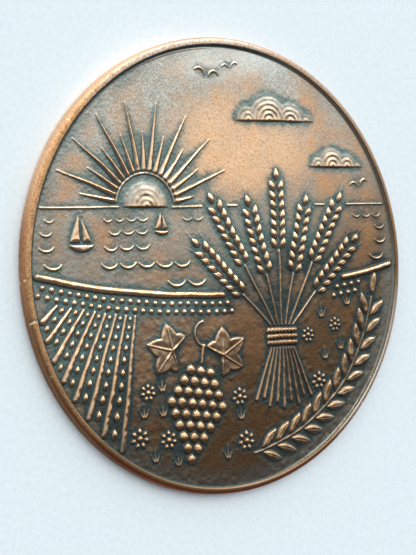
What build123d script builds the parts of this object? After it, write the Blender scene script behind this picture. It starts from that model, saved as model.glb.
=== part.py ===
from build123d import *
from math import asin, atan2, cos, degrees, hypot, radians, sin, sqrt
from typing import NamedTuple
import os

# A struck copper medal in one piece: a thin round body with a raised rim on
# both sides, a plain recessed reverse, and a picture in low relief on the
# obverse. The picture is a harvest by the sea: a rising sun, clouds, gulls,
# waves and two boats, a sheaf of wheat, a bunch of grapes, ploughed furrows
# with a crop between them, daisies and a laurel branch.
# Millimetres. The origin is the centre of the reverse, where the medal lies
# on a table. +Z points up out of the obverse, +Y to the top of the picture.

# Body
MEDAL_DIAMETER = 60.0
EDGE_THICKNESS = 1.7       # reverse rim to obverse rim
FIELD_DEPTH = 0.5          # obverse field below the rim's crest
REVERSE_DEPTH = 0.15       # reverse field above the reverse rim
RIM_CREST_WIDTH = 0.75     # edge to the inner line of the crest
RIM_SLOPE_RUN = 0.15       # crest's inner line to the foot on the field
REVERSE_RIM_WIDTH = 1.3
RIM_OUTER_ROUND = 0.5
RIM_INNER_ROUND = 0.15
REVERSE_ROUND = 0.35

# Relief in general
RELIEF_SINK = 0.1          # how far a cut-out shape goes down into the field
RELIEF_MARGIN = 0.4        # relief to the foot of the rim
RELIEF_GAP = 0.35          # one motif to the next
SCAN_STEP = 0.1            # between two places that are tested for being free
SHORTEST_LINE = 1.5        # a line with less room than this is left out

# Sun
SUN_RADIUS = 3.6
SUN_HEIGHT = 0.42
SUN_RING_GAP = 0.7
SUN_RING_WIRE = 0.16
RAY_LENGTH = 8.6
RAY_SHORT_LENGTH = 4.8
RAY_ROOT_RADIUS = 0.42
RAY_TIP_RADIUS = 0.1
RAY_STEP_DEG = 10.0

# Sky and sea
HORIZON_WIRE = 0.14
CLOUD_HEIGHT = 0.38        # at the top of the largest billow
GULL_SPAN = 3.6
GULL_WIRE = 0.17
GULL_LIFT = 0.25           # a wing tip's height over the body, against half the span
GULL_ARCH = 0.3            # a wing's arch against half the span
BOAT_LENGTH = 3.6
BOAT_HULL_DEPTH = 0.9
BOAT_MAST = 3.8
BOAT_HEIGHT = 0.3
SHORE_WIRE = 0.42
SHORE_RADIUS = 130.0
PEBBLE_RADIUS = 0.4
PEBBLE_HEIGHT = 0.3
PEBBLE_PITCH = 1.25
PEBBLE_ROWS = 2
PEBBLE_ROW_STEP = 0.87     # against the pitch along a row

# Sheaf of wheat
TIE_WIDTH = 4.4
TIE_CORD_RADIUS = 0.36
TIE_CORD_GAP = 0.1
TIE_CORDS = 3
WAIST_SHARE = 0.84         # the stalks' width at the tie against the tie's
STALK_RADIUS = 0.17
STALK_FOOT_RADIUS = 0.3
STALK_FOOT_LENGTH = 8.0
STALK_FEET = 9
STALK_FEET_SPREAD_DEG = 46.0
STALK_FOOT_STAGGER = 0.1   # how much shorter every other foot is, against the longest
GRAIN_LENGTH = 1.75
GRAIN_WIDTH = 0.86
GRAIN_PITCH = 1.3
GRAIN_ANGLE_DEG = 27.0
GRAIN_PAIRS = 7

# Grapes
GRAPE_RADIUS = 0.76
GRAPE_HEIGHT = 0.45
GRAPE_PITCH = 1.6
BUNCH_STALK_LENGTH = 2.3
VINE_LEAF_RADIUS = 4.0
VINE_LEAF_HEIGHT = 0.24
VINE_VEIN_RADIUS = 0.15
TENDRIL_WIRE = 0.16
TENDRIL_RADIUS = 1.6
TENDRIL_START_DEG, TENDRIL_END_DEG = 100.0, 255.0

# Fields
FURROW_TOP_RADIUS = 0.2
FURROW_END_RADIUS = 0.42
FURROW_STEP_DEG = 5.6
CROP_LENGTH = 0.8          # a plant's length against the room between two furrows
CROP_WIDTH = 0.46          # its width against that room
CROP_PITCH = 1.15          # one plant to the next against that room
CROP_LEAST_ROOM = 0.75     # the narrowest room in which a plant grows
DAISY_RADIUS = 1.45
DAISY_PETAL_WIDTH = 0.62
DAISY_PETALS = 7
DAISY_EYE_RADIUS = 0.46
DAISY_EYE_HEIGHT = 0.4
TUFT_BLADE_LENGTH = 1.7
TUFT_BLADE_RADIUS = 0.19
TUFT_SPREAD_DEG = 30.0
TUFT_SIDE_BLADE = 0.75     # a side blade's length against the middle one's

# Laurel
LAUREL_LEAF_LENGTH = 3.5
LAUREL_LEAF_WIDTH = 1.3
LAUREL_LEAF_HEIGHT = 0.34
LAUREL_LEAF_CROWN = 0.42   # the crown's width against the leaf's
LAUREL_LEAF_ANGLE_DEG = 32.0
LAUREL_PITCH = 2.45
LAUREL_STEM_WIRE = 0.17
LAUREL_BERRY_RADIUS = 0.34
LAUREL_BERRY_STEP = 3      # pairs of leaves from one berry to the next

# Sizes worked out from those above
medal_radius = MEDAL_DIAMETER / 2
crest_radius = medal_radius - RIM_CREST_WIDTH
field_radius = crest_radius - RIM_SLOPE_RUN
field_z = EDGE_THICKNESS - FIELD_DEPTH
relief_radius = field_radius - RELIEF_MARGIN

# Places in the picture, as shares of the field's radius: x to the right, y up
HORIZON_Y = 0.27
SUN_X = -0.42
SHORE_Y = -0.13
TIE = (0.30, -0.34)
BUNCH = (-0.16, -0.47)
LAUREL_ORBIT = 0.87
LAUREL_START_DEG, LAUREL_END_DEG = -82.0, -12.0
FURROW_START_DEG, FURROW_END_DEG = 222.0, 262.0


class Ear(NamedTuple):
    """An ear of wheat: its lean from upright, and its foot's distance from the tie."""
    lean_deg: float
    reach: float


EARS = [
    Ear(lean_deg=-46.0, reach=0.30),
    Ear(lean_deg=-30.0, reach=0.40),
    Ear(lean_deg=-15.0, reach=0.31),
    Ear(lean_deg=0.0, reach=0.41),
    Ear(lean_deg=15.0, reach=0.31),
    Ear(lean_deg=30.0, reach=0.40),
    Ear(lean_deg=46.0, reach=0.30),
]


class Cloud(NamedTuple):
    """A cloud: its middle, and its half length."""
    x: float
    y: float
    half: float


CLOUDS = [
    Cloud(x=0.30, y=0.66, half=0.24),
    Cloud(x=0.66, y=0.45, half=0.17),
]


class Billow(NamedTuple):
    """One billow of a cloud: its middle and its radius against the cloud's half length."""
    at: float
    radius: float


BILLOWS = [
    Billow(at=-0.62, radius=0.34),
    Billow(at=-0.12, radius=0.56),
    Billow(at=0.40, radius=0.42),
    Billow(at=0.78, radius=0.22),
]


class Gull(NamedTuple):
    """A gull: its place, its tilt, and its size against GULL_SPAN."""
    x: float
    y: float
    tilt_deg: float
    size: float


GULLS = [
    Gull(x=-0.07, y=0.86, tilt_deg=-8.0, size=1.0),
    Gull(x=0.06, y=0.90, tilt_deg=10.0, size=0.7),
    Gull(x=0.80, y=0.36, tilt_deg=12.0, size=0.85),
]


class Boat(NamedTuple):
    """A boat: the middle of its hull, and its size against BOAT_LENGTH."""
    x: float
    y: float
    size: float


BOATS = [Boat(x=-0.75, y=0.11, size=1.0), Boat(x=-0.34, y=0.165, size=0.62)]


class Sail(NamedTuple):
    """A sail: its side of the mast, its foot against half the hull, its head against the mast."""
    side: int
    foot: float
    head: float


SAILS = [Sail(side=-1, foot=0.95, head=1.0), Sail(side=1, foot=0.8, head=0.85)]
SAIL_BELLY = 0.65          # how far out a sail's edge is at half its height, against its foot


class WaveRow(NamedTuple):
    """A row of wave crests: its height in the picture, a crest's length, its wire."""
    y: float
    length: float
    wire: float


WAVES = [
    WaveRow(y=0.220, length=0.058, wire=0.0044),
    WaveRow(y=0.165, length=0.068, wire=0.0052),
    WaveRow(y=0.100, length=0.080, wire=0.0060),
    WaveRow(y=0.025, length=0.094, wire=0.0070),
    WaveRow(y=-0.060, length=0.108, wire=0.0080),
]
WAVE_SAG = 0.24            # a crest's depth against its length
WAVE_BREAK = 0.16          # the gap between two crests against their length

# The bunch: how many grapes lie in each row, from the stalk down
GRAPE_ROWS = [3, 4, 5, 6, 5, 4, 3, 2, 1]
GRAPE_ROW_STEP = 0.9       # against the pitch along a row
BUNCH_LEAN_DEG = -10.0


class Lobe(NamedTuple):
    """A lobe of a vine leaf: its direction, and its length against the leaf's radius."""
    turn_deg: float
    length: float


VINE_LOBES = [
    Lobe(turn_deg=-125.0, length=0.72),
    Lobe(turn_deg=-62.0, length=0.92),
    Lobe(turn_deg=0.0, length=1.0),
    Lobe(turn_deg=62.0, length=0.92),
    Lobe(turn_deg=125.0, length=0.72),
]
VINE_NOTCH = 0.58          # the notch between two lobes against the leaf's radius
VINE_BOW = 0.16            # a side's bulge against its length
VINE_HEEL = 0.1            # from the stalk's end back to the blade's edge, against the leaf's radius
VEIN_START, VEIN_END = 0.16, 0.82   # along a lobe, against its length


class VineLeaf(NamedTuple):
    """A vine leaf: where its stalk joins it, and the direction of its tip."""
    x: float
    y: float
    turn_deg: float


VINE_LEAVES = [
    VineLeaf(x=-0.31, y=-0.37, turn_deg=165.0),
    VineLeaf(x=-0.035, y=-0.40, turn_deg=30.0),
]

class Daisy(NamedTuple):
    """A daisy: its middle, and its size against DAISY_RADIUS."""
    x: float
    y: float
    size: float


DAISIES = [
    Daisy(x=0.045, y=-0.60, size=0.9),
    Daisy(x=0.075, y=-0.80, size=1.0),
    Daisy(x=0.51, y=-0.56, size=0.9),
    Daisy(x=0.455, y=-0.34, size=0.8),
    Daisy(x=0.62, y=-0.30, size=0.75),
    Daisy(x=-0.445, y=-0.54, size=0.85),
    Daisy(x=-0.495, y=-0.74, size=1.0),
    Daisy(x=-0.345, y=-0.76, size=0.95),
]

# Tufts of grass: where each one grows
TUFTS = [
    (0.05, -0.71), (-0.03, -0.88), (0.55, -0.47), (0.65, -0.43), (0.70, -0.22), (0.54, -0.27),
    (-0.47, -0.66), (-0.37, -0.66), (-0.42, -0.86), (-0.30, -0.89), (-0.37, -0.55),
]


def spot(x, y):
    """A place in the picture, given in shares of the field's radius."""
    return Vector(x * field_radius, y * field_radius, field_z)


def heading(angle_deg):
    """The unit vector that points along an angle in the field."""
    return Vector(cos(radians(angle_deg)), sin(radians(angle_deg)), 0)


def turn_of(vector):
    """The angle of a vector in the field, in degrees."""
    return degrees(atan2(vector.Y, vector.X))


def seat(shape, place, angle_deg=0.0):
    """Sets a shape down at a place on the field, turned by an angle."""
    return Location(place) * Rotation(0, 0, angle_deg) * shape


def ridge(start, end, start_radius, end_radius):
    """A round ridge between two places, half sunk into the field."""
    run = end - start
    from_foot = (Align.CENTER, Align.CENTER, Align.MIN)
    if start_radius == end_radius:
        rod = Cylinder(start_radius, run.length, align=from_foot)
    else:
        rod = Cone(start_radius, end_radius, run.length, align=from_foot)
    return Location(start) * Rotation(0, 0, turn_of(run)) * Rotation(0, 90, 0) * rod


def bent_wire(centre, radius, start_deg, end_deg, wire):
    """A round wire along an arc, half sunk into the field."""
    section = Plane.XZ * Pos(radius, 0) * Circle(wire)
    swept = revolve(section, Axis.Z, end_deg - start_deg)
    return Location(centre) * Rotation(0, 0, start_deg) * swept


def hanging_wire(start, end, sag, wire):
    """A wire between two places that hangs below their line by a sag."""
    run = end - start
    radius = (run.length**2 / 4 + sag**2) / (2 * sag)
    half_deg = degrees(atan2(run.length / 2, radius - sag))
    up = heading(turn_of(run) + 90)
    centre = (start + end) / 2 + up * (radius - sag)
    middle_deg = turn_of(run) - 90
    return bent_wire(centre, radius, middle_deg - half_deg, middle_deg + half_deg, wire)


def spindle(length, width):
    """A grain along +X: a round body drawn to a point at both ends."""
    bulge = ThreePointArc((-length / 2, 0), (0, width / 2), (length / 2, 0))
    axis_line = Line((length / 2, 0), (-length / 2, 0))
    return revolve(make_face([bulge, axis_line]), Axis.X)


def pointed_leaf(length, width, height, crown_share):
    """A leaf along +X from its stalk: two arcs, rising to a narrow crown."""
    upper = ThreePointArc((0, 0), (length / 2, width / 2), (length, 0))
    lower = ThreePointArc((length, 0), (length / 2, -width / 2), (0, 0))
    outline = make_face([upper, lower])
    taper_deg = degrees(atan2((1 - crown_share) * width / 2, height))
    crown = Rotation(180, 0, 0) * extrude(outline, height, taper=taper_deg)
    root = extrude(outline, RELIEF_SINK, dir=(0, 0, -1))
    return crown + root


def dome(radius, height, sweep_deg=360.0):
    """A round cap with a short foot under it, or the part of it within a sweep from +X."""
    ball = (radius**2 + height**2) / (2 * height)
    half = asin(radius / ball) / 2
    crown = ThreePointArc(
        (0, height), (ball * sin(half), height - ball * (1 - cos(half))), (radius, 0)
    )
    section = make_face([
        crown,
        Line((radius, 0), (radius, -RELIEF_SINK)),
        Line((radius, -RELIEF_SINK), (0, -RELIEF_SINK)),
        Line((0, -RELIEF_SINK), (0, height)),
    ])
    return revolve(Plane.XZ * section, Axis.Z, sweep_deg)


def raised_outline(lines, height):
    """A flat raised shape with the outline that the lines give."""
    return Pos(0, 0, -RELIEF_SINK) * extrude(make_face(lines), height + RELIEF_SINK, dir=(0, 0, 1))


def outline_of(points):
    """The straight lines that join a list of points, one after the other."""
    return [Line(start, end) for start, end in zip(points, points[1:])]


def quarter_round(start, corner, end):
    """The arc that rounds off a square corner, from a point on one side to one on the other."""
    keep = sqrt(0.5)
    middle = tuple(keep * c + (1 - keep) * (s + e - c) for s, c, e in zip(start, corner, end))
    return ThreePointArc(start, middle, end)


def make_body():
    """The round body, from the profile of its rim, its edge and both fields."""
    outer_round = min(RIM_OUTER_ROUND, 0.67 * RIM_CREST_WIDTH)
    inner_round = min(RIM_INNER_ROUND, 0.3 * RIM_CREST_WIDTH, FIELD_DEPTH / 2)
    reverse_inner = medal_radius - REVERSE_RIM_WIDTH
    top = EDGE_THICKNESS

    reverse_corner = (medal_radius, 0)
    reverse_start = (medal_radius - REVERSE_ROUND, 0)
    edge_start = (medal_radius, REVERSE_ROUND)
    edge_end = (medal_radius, top - outer_round)
    obverse_corner = (medal_radius, top)
    crest_start = (medal_radius - outer_round, top)
    crest_end = (crest_radius + inner_round, top)
    inner_corner = (crest_radius, top)
    slope_start = (crest_radius, top - inner_round)

    profile = outline_of([
        slope_start,
        (field_radius, field_z),
        (0, field_z),
        (0, REVERSE_DEPTH),
        (reverse_inner - REVERSE_DEPTH, REVERSE_DEPTH),
        (reverse_inner, 0),
        reverse_start,
    ])
    profile += [
        quarter_round(reverse_start, reverse_corner, edge_start),
        Line(edge_start, edge_end),
        quarter_round(edge_end, obverse_corner, crest_start),
        Line(crest_start, crest_end),
        quarter_round(crest_end, inner_corner, slope_start),
    ]
    return revolve(Plane.XZ * make_face(profile), Axis.Z)


def reach_to_rim(start, angle_deg):
    """How far a line from a place runs before it comes to the relief's margin."""
    along = heading(angle_deg)
    across = start.X * along.X + start.Y * along.Y
    inside = relief_radius**2 - start.X**2 - start.Y**2
    return sqrt(across**2 + inside) - across


def make_sun():
    """The half sun on the horizon, its ring, and its long and short rays."""
    middle = spot(SUN_X, HORIZON_Y)
    disc = Location(middle) * dome(SUN_RADIUS, SUN_HEIGHT, 180)
    ring_radius = SUN_RADIUS + SUN_RING_GAP
    clear_deg = degrees((HORIZON_WIRE + SUN_RING_WIRE + RELIEF_GAP) / ring_radius)
    ring = bent_wire(middle, ring_radius, clear_deg, 180 - clear_deg, SUN_RING_WIRE)
    solids = [disc, ring]

    ray_start = ring_radius + SUN_RING_WIRE + RELIEF_GAP
    count = round(180 / RAY_STEP_DEG)
    for index in range(1, count):
        angle_deg = index * 180 / count
        wanted = RAY_LENGTH if index % 2 == 0 else RAY_SHORT_LENGTH
        along = heading(angle_deg)
        room = reach_to_rim(middle, angle_deg) - ray_start
        length = min(wanted, room)
        while not clear_of_sheaf(middle + along * (ray_start + length), RELIEF_GAP):
            length -= RELIEF_GAP
        root = middle + along * ray_start
        solids.append(ridge(root, root + along * length, RAY_ROOT_RADIUS, RAY_TIP_RADIUS))
    return solids


def ear_length():
    """The length of an ear, from its foot to the tip of its last grain."""
    return GRAIN_PAIRS * GRAIN_PITCH + GRAIN_LENGTH


def clear_of_sheaf(place, room):
    """True if a place is further from each ear and its stalk than a room."""
    for ear in EARS:
        along = heading(90 - ear.lean_deg)
        offset = place - spot(*TIE)
        full = ear.reach * field_radius + ear_length()
        run = min(max(offset.X * along.X + offset.Y * along.Y, 0), full)
        gap = hypot(offset.X - along.X * run, offset.Y - along.Y * run)
        if gap < GRAIN_LENGTH + room:
            return False
    return True


def clear_of_laurel(place, room):
    """True if a place is further from the laurel's leaves than a room."""
    orbit = LAUREL_ORBIT * field_radius
    beyond = LAUREL_START_DEG < turn_of(place) < LAUREL_END_DEG + degrees(LAUREL_PITCH * 2 / orbit)
    return not beyond or hypot(place.X, place.Y) < orbit - LAUREL_LEAF_LENGTH * 0.6 - room


def free_spans(height_at, is_free):
    """The stretches of a line across the field where each place on it is free."""
    spans = []
    steps = round(2 * field_radius / SCAN_STEP)
    for index in range(steps + 1):
        x = index * SCAN_STEP - field_radius
        if not is_free(Vector(x, height_at(x), field_z)):
            continue
        if spans and x - spans[-1][1] < 2 * SCAN_STEP:
            spans[-1][1] = x
        else:
            spans.append([x, x])
    return [span for span in spans if span[1] - span[0] > SHORTEST_LINE]


def in_relief(place, room):
    """True if a place is further inside the relief's margin than a room."""
    return hypot(place.X, place.Y) < relief_radius - room


def make_horizon():
    """The line where the sea meets the sky, on each side of the sun and the sheaf."""
    level = HORIZON_Y * field_radius

    def is_free(place):
        by_sun = abs(place.X - SUN_X * field_radius) < SUN_RADIUS + RELIEF_GAP
        return not by_sun and in_relief(place, HORIZON_WIRE) and clear_of_sheaf(place, 0)

    return [
        ridge(Vector(left, level, field_z), Vector(right, level, field_z), HORIZON_WIRE, HORIZON_WIRE)
        for left, right in free_spans(lambda x: level, is_free)
    ]


def shore_height(x):
    """The shore's height in the picture at a distance from the middle."""
    return SHORE_Y * field_radius + SHORE_RADIUS - sqrt(SHORE_RADIUS**2 - x**2)


def bank_foot(x):
    """Where the fields begin, below the bank and its pebbles, at a distance from the middle."""
    pebbles = 2 * PEBBLE_RADIUS + (PEBBLE_ROWS - 1) * PEBBLE_ROW_STEP * PEBBLE_PITCH
    return shore_height(x) - SHORE_WIRE - 2 * RELIEF_GAP - pebbles


def make_shore():
    """The bank between the sea and the fields, on each side of the sheaf."""
    centre = Vector(0, SHORE_Y * field_radius + SHORE_RADIUS, field_z)

    def is_free(place):
        return in_relief(place, SHORE_WIRE) and clear_of_sheaf(place, SHORE_WIRE)

    solids = []
    for left, right in free_spans(shore_height, is_free):
        start_deg, end_deg = (270 + degrees(asin(x / SHORE_RADIUS)) for x in (left, right))
        solids.append(bent_wire(centre, SHORE_RADIUS, start_deg, end_deg, SHORE_WIRE))
    return solids


def make_pebbles():
    """Rows of pebbles along the foot of the bank."""
    solids = []
    room = PEBBLE_RADIUS
    pebble = dome(PEBBLE_RADIUS, PEBBLE_HEIGHT)
    half_count = int(field_radius / PEBBLE_PITCH)
    for row in range(PEBBLE_ROWS):
        drop = SHORE_WIRE + RELIEF_GAP + PEBBLE_RADIUS + row * PEBBLE_ROW_STEP * PEBBLE_PITCH
        for index in range(-half_count, half_count):
            x = (index + 0.5 * (row % 2)) * PEBBLE_PITCH
            place = Vector(x, shore_height(x) - drop, field_z)
            if in_relief(place, room) and clear_of_sheaf(place, room) and clear_of_laurel(place, room):
                solids.append(Location(place) * pebble)
    return solids


def by_a_boat(place, room):
    """True if a place is nearer to a boat than a room."""
    for boat in BOATS:
        offset = place - spot(boat.x, boat.y)
        beside = abs(offset.X) < boat.size * BOAT_LENGTH / 2 + room
        if beside and -BOAT_HULL_DEPTH * boat.size - room < offset.Y < BOAT_MAST * boat.size + room:
            return True
    return False


def make_waves():
    """Rows of crests that hang between their points, longer and thicker near the shore."""
    solids = []
    for row in WAVES:
        pitch = row.length * field_radius
        wire = row.wire * field_radius
        span = Vector(pitch * (1 - WAVE_BREAK), 0, 0)
        sag = WAVE_SAG * span.X
        half_count = int(field_radius / pitch)
        for index in range(-half_count, half_count):
            start = Vector((index + WAVE_BREAK / 2) * pitch, row.y * field_radius, field_z)
            middle = start + span / 2
            at_sea = middle.Y - sag - wire > shore_height(middle.X) + SHORE_WIRE + RELIEF_GAP
            clear = clear_of_sheaf(middle, pitch / 2) and not by_a_boat(middle, pitch / 2 + RELIEF_GAP)
            if at_sea and clear and in_relief(start, wire) and in_relief(start + span, wire):
                solids.append(hanging_wire(start, start + span, sag, wire))
    return solids


def make_boat(boat):
    """A boat: a hull, and a large and a small sail, one on each side of the mast."""
    half = boat.size * BOAT_LENGTH / 2
    mast = boat.size * BOAT_MAST
    seam = boat.size * RELIEF_GAP
    hull_lines = [
        Line((-half, 0), (half, 0)),
        ThreePointArc((half, 0), (0, -boat.size * BOAT_HULL_DEPTH), (-half, 0)),
    ]
    shapes = [raised_outline(hull_lines, BOAT_HEIGHT)]
    for sail in SAILS:
        tack = (sail.side * seam / 2, seam)
        head = (sail.side * seam / 2, sail.head * mast)
        belly = (sail.side * SAIL_BELLY * sail.foot * half, head[1] / 2)
        clew = (sail.side * sail.foot * half, seam)
        sail_lines = [Line(clew, tack), Line(tack, head), ThreePointArc(head, belly, clew)]
        shapes.append(raised_outline(sail_lines, BOAT_HEIGHT))
    return [seat(shape, spot(boat.x, boat.y)) for shape in shapes]


def make_cloud(cloud):
    """A cloud: billows of unlike sizes side by side on one flat foot."""
    half = cloud.half * field_radius
    largest = max(billow.radius for billow in BILLOWS)
    solids = []
    for billow in BILLOWS:
        height = CLOUD_HEIGHT * billow.radius / largest
        solids.append(Pos(billow.at * half, 0, 0) * dome(billow.radius * half, height, 180))
    return seat(solids[0].fuse(*solids[1:]), spot(cloud.x, cloud.y))


def make_gull(gull):
    """A gull in flight: two bent wings that spread from its body."""
    half = gull.size * GULL_SPAN / 2
    wire = gull.size * GULL_WIRE
    body = spot(gull.x, gull.y)
    along = heading(gull.tilt_deg)
    lift = heading(gull.tilt_deg + 90) * (GULL_LIFT * half)
    left = [body - along * half + lift, body - along * (2 * wire)]
    right = [body + along * (2 * wire), body + along * half + lift]
    return [hanging_wire(end, start, GULL_ARCH * half, wire) for start, end in (left, right)]


def tie_height():
    """The height of the tie in the picture, with a gap over and under it."""
    return TIE_CORDS * 2 * TIE_CORD_RADIUS + (TIE_CORDS - 1) * TIE_CORD_GAP + 2 * RELIEF_GAP


def waist_place(share, side):
    """A stalk's end over (side 1) or under (side -1) the tie, at a share of the waist's half."""
    return spot(*TIE) + Vector(share * WAIST_SHARE * TIE_WIDTH / 2, side * tie_height() / 2, 0)


def make_ear(ear):
    """An ear of wheat: its stalk from the tie, and grains in pairs up to a last one."""
    along_deg = 90 - ear.lean_deg
    along = heading(along_deg)
    across = heading(along_deg - 90)
    foot = spot(*TIE) + along * (ear.reach * field_radius)
    root = waist_place(ear.lean_deg / max(each.lean_deg for each in EARS), 1)
    solids = [ridge(root, foot - along * RELIEF_GAP, STALK_RADIUS, STALK_RADIUS)]
    grain = spindle(GRAIN_LENGTH, GRAIN_WIDTH)
    out = across * (STALK_RADIUS + (GRAIN_LENGTH * sin(radians(GRAIN_ANGLE_DEG)) + GRAIN_WIDTH / 3) / 2)
    for pair in range(GRAIN_PAIRS):
        level = foot + along * ((pair + 0.5) * GRAIN_PITCH)
        solids.append(seat(grain, level - out, along_deg + GRAIN_ANGLE_DEG))
        solids.append(seat(grain, level + out, along_deg - GRAIN_ANGLE_DEG))
    tip = foot + along * (GRAIN_PAIRS * GRAIN_PITCH + GRAIN_LENGTH / 2)
    solids.append(seat(grain, tip, along_deg))
    return solids


def make_tie():
    """The cords round the sheaf's waist."""
    half = Vector(TIE_WIDTH / 2, 0, 0)
    solids = []
    for index in range(TIE_CORDS):
        level = (index - (TIE_CORDS - 1) / 2) * (2 * TIE_CORD_RADIUS + TIE_CORD_GAP)
        middle = spot(*TIE) + Vector(0, level, 0)
        solids.append(ridge(middle - half, middle + half, TIE_CORD_RADIUS, TIE_CORD_RADIUS))
    return solids


def make_stalk_feet():
    """The feet of the stalks, which spread under the tie."""
    solids = []
    for index in range(STALK_FEET):
        share = 2 * index / (STALK_FEET - 1) - 1
        along = heading(-90 + share * STALK_FEET_SPREAD_DEG / 2)
        length = STALK_FOOT_LENGTH * (1 - STALK_FOOT_STAGGER * (share**2 + index % 2))
        root = waist_place(share, -1)
        solids.append(ridge(root, root + along * length, STALK_RADIUS, STALK_FOOT_RADIUS))
    return solids


def make_sheaf():
    """The sheaf of wheat: its ears, its tie and the feet of its stalks."""
    solids = make_tie() + make_stalk_feet()
    for ear in EARS:
        solids += make_ear(ear)
    return solids


def vine_outline():
    """The edge of a vine leaf: the tips of its lobes, and the notches between them."""
    points = []
    for lobe, following in zip(VINE_LOBES, VINE_LOBES[1:] + [None]):
        points.append(heading(lobe.turn_deg) * (lobe.length * VINE_LEAF_RADIUS))
        if following:
            notch_deg = (lobe.turn_deg + following.turn_deg) / 2
            points.append(heading(notch_deg) * (VINE_NOTCH * VINE_LEAF_RADIUS))
    points.append(heading(180) * (VINE_HEEL * VINE_LEAF_RADIUS))
    lines = []
    for start, end in zip(points, points[1:] + points[:1]):
        side = end - start
        bow = (start + end) / 2 + heading(turn_of(side) - 90) * (VINE_BOW * side.length)
        lines.append(ThreePointArc((start.X, start.Y), (bow.X, bow.Y), (end.X, end.Y)))
    return lines


def make_vine_leaf(leaf):
    """A vine leaf: a blade with pointed lobes, and a vein along each of them."""
    stalk = spot(leaf.x, leaf.y)
    solids = [seat(raised_outline(vine_outline(), VINE_LEAF_HEIGHT), stalk, leaf.turn_deg)]
    on_blade = stalk + Vector(0, 0, VINE_LEAF_HEIGHT)
    for lobe in VINE_LOBES:
        tip = heading(leaf.turn_deg + lobe.turn_deg) * (lobe.length * VINE_LEAF_RADIUS)
        start, end = on_blade + tip * VEIN_START, on_blade + tip * VEIN_END
        solids.append(ridge(start, end, VINE_VEIN_RADIUS, VINE_VEIN_RADIUS / 2))
    return solids


def make_grapes():
    """The bunch of grapes: rows of balls, its stalk, two leaves and a tendril."""
    top = spot(*BUNCH)
    down = heading(-90 + BUNCH_LEAN_DEG)
    across = heading(BUNCH_LEAN_DEG)
    grape = dome(GRAPE_RADIUS, GRAPE_HEIGHT)
    solids = []
    for row, count in enumerate(GRAPE_ROWS):
        for index in range(count):
            shift = (index - (count - 1) / 2) * GRAPE_PITCH
            place = top + down * (row * GRAPE_ROW_STEP * GRAPE_PITCH) + across * shift
            solids.append(Location(place) * grape)
    stalk_foot = top - down * (GRAPE_RADIUS + RELIEF_GAP)
    stalk_head = stalk_foot - down * BUNCH_STALK_LENGTH
    solids.append(ridge(stalk_foot, stalk_head, STALK_RADIUS, STALK_FOOT_RADIUS))
    curl = stalk_head - down * TENDRIL_RADIUS
    solids.append(bent_wire(curl, TENDRIL_RADIUS, TENDRIL_START_DEG, TENDRIL_END_DEG, TENDRIL_WIRE))
    for leaf in VINE_LEAVES:
        solids += make_vine_leaf(leaf)
    return solids


def run_to_field(source, angle_deg, reach):
    """How far a line from the sun runs before it comes to the fields, at most its whole reach."""
    place = source
    run = 0.0
    while place.Y > bank_foot(place.X) and run < reach:
        run += SCAN_STEP
        place = source + heading(angle_deg) * run
    return run


def make_furrows():
    """Furrows of the ploughed field, which run out from under the sun to the rim."""
    source = spot(SUN_X, HORIZON_Y)
    count = int((FURROW_END_DEG - FURROW_START_DEG) / FURROW_STEP_DEG) + 1
    solids = []
    for index in range(count):
        angle_deg = FURROW_START_DEG + index * FURROW_STEP_DEG
        along = heading(angle_deg)
        last = reach_to_rim(source, angle_deg) - FURROW_END_RADIUS
        first = run_to_field(source, angle_deg, last)
        if last - first > SHORTEST_LINE:
            ends = source + along * first, source + along * last
            solids.append(ridge(*ends, FURROW_TOP_RADIUS, FURROW_END_RADIUS))
    return solids


def make_crop():
    """The crop: plants in rows between the furrows, larger where the furrows leave more room."""
    source = spot(SUN_X, HORIZON_Y)
    rows = int((FURROW_END_DEG - FURROW_START_DEG) / FURROW_STEP_DEG)
    solids = []
    for row in range(rows):
        angle_deg = FURROW_START_DEG + (row + 0.5) * FURROW_STEP_DEG
        along = heading(angle_deg)
        last = reach_to_rim(source, angle_deg)
        first = run_to_field(source, angle_deg, last)
        run = first
        while run < last:
            grown = (run - first) / (last - first)
            furrow = FURROW_TOP_RADIUS + (FURROW_END_RADIUS - FURROW_TOP_RADIUS) * grown
            room = 2 * run * sin(radians(FURROW_STEP_DEG / 2)) - 2 * furrow
            length = CROP_LENGTH * room
            if room > CROP_LEAST_ROOM and run + length < last:
                plant = spindle(length, CROP_WIDTH * room)
                solids.append(seat(plant, source + along * (run + length / 2), angle_deg))
            run += CROP_PITCH * max(room, CROP_LEAST_ROOM)
    return solids


def make_daisy(daisy):
    """A daisy: petals round a domed eye."""
    middle = spot(daisy.x, daisy.y)
    eye = daisy.size * DAISY_EYE_RADIUS
    length = daisy.size * DAISY_RADIUS - eye
    petal = spindle(length, daisy.size * DAISY_PETAL_WIDTH)
    solids = [Location(middle) * dome(eye, daisy.size * DAISY_EYE_HEIGHT)]
    for index in range(DAISY_PETALS):
        turn_deg = 90 + index * 360 / DAISY_PETALS
        solids.append(seat(petal, middle + heading(turn_deg) * (eye + length / 2), turn_deg))
    return solids


def make_tufts():
    """Tufts of grass: three blades each, spread from one root."""
    solids = []
    for x, y in TUFTS:
        for index in (-1, 0, 1):
            along = heading(90 + index * TUFT_SPREAD_DEG)
            root = spot(x, y) + along * (2.2 * TUFT_BLADE_RADIUS)
            blade = along * (TUFT_BLADE_LENGTH * (TUFT_SIDE_BLADE if index else 1))
            solids.append(ridge(root, root + blade, TUFT_BLADE_RADIUS, TUFT_BLADE_RADIUS / 3))
    return solids


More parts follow.
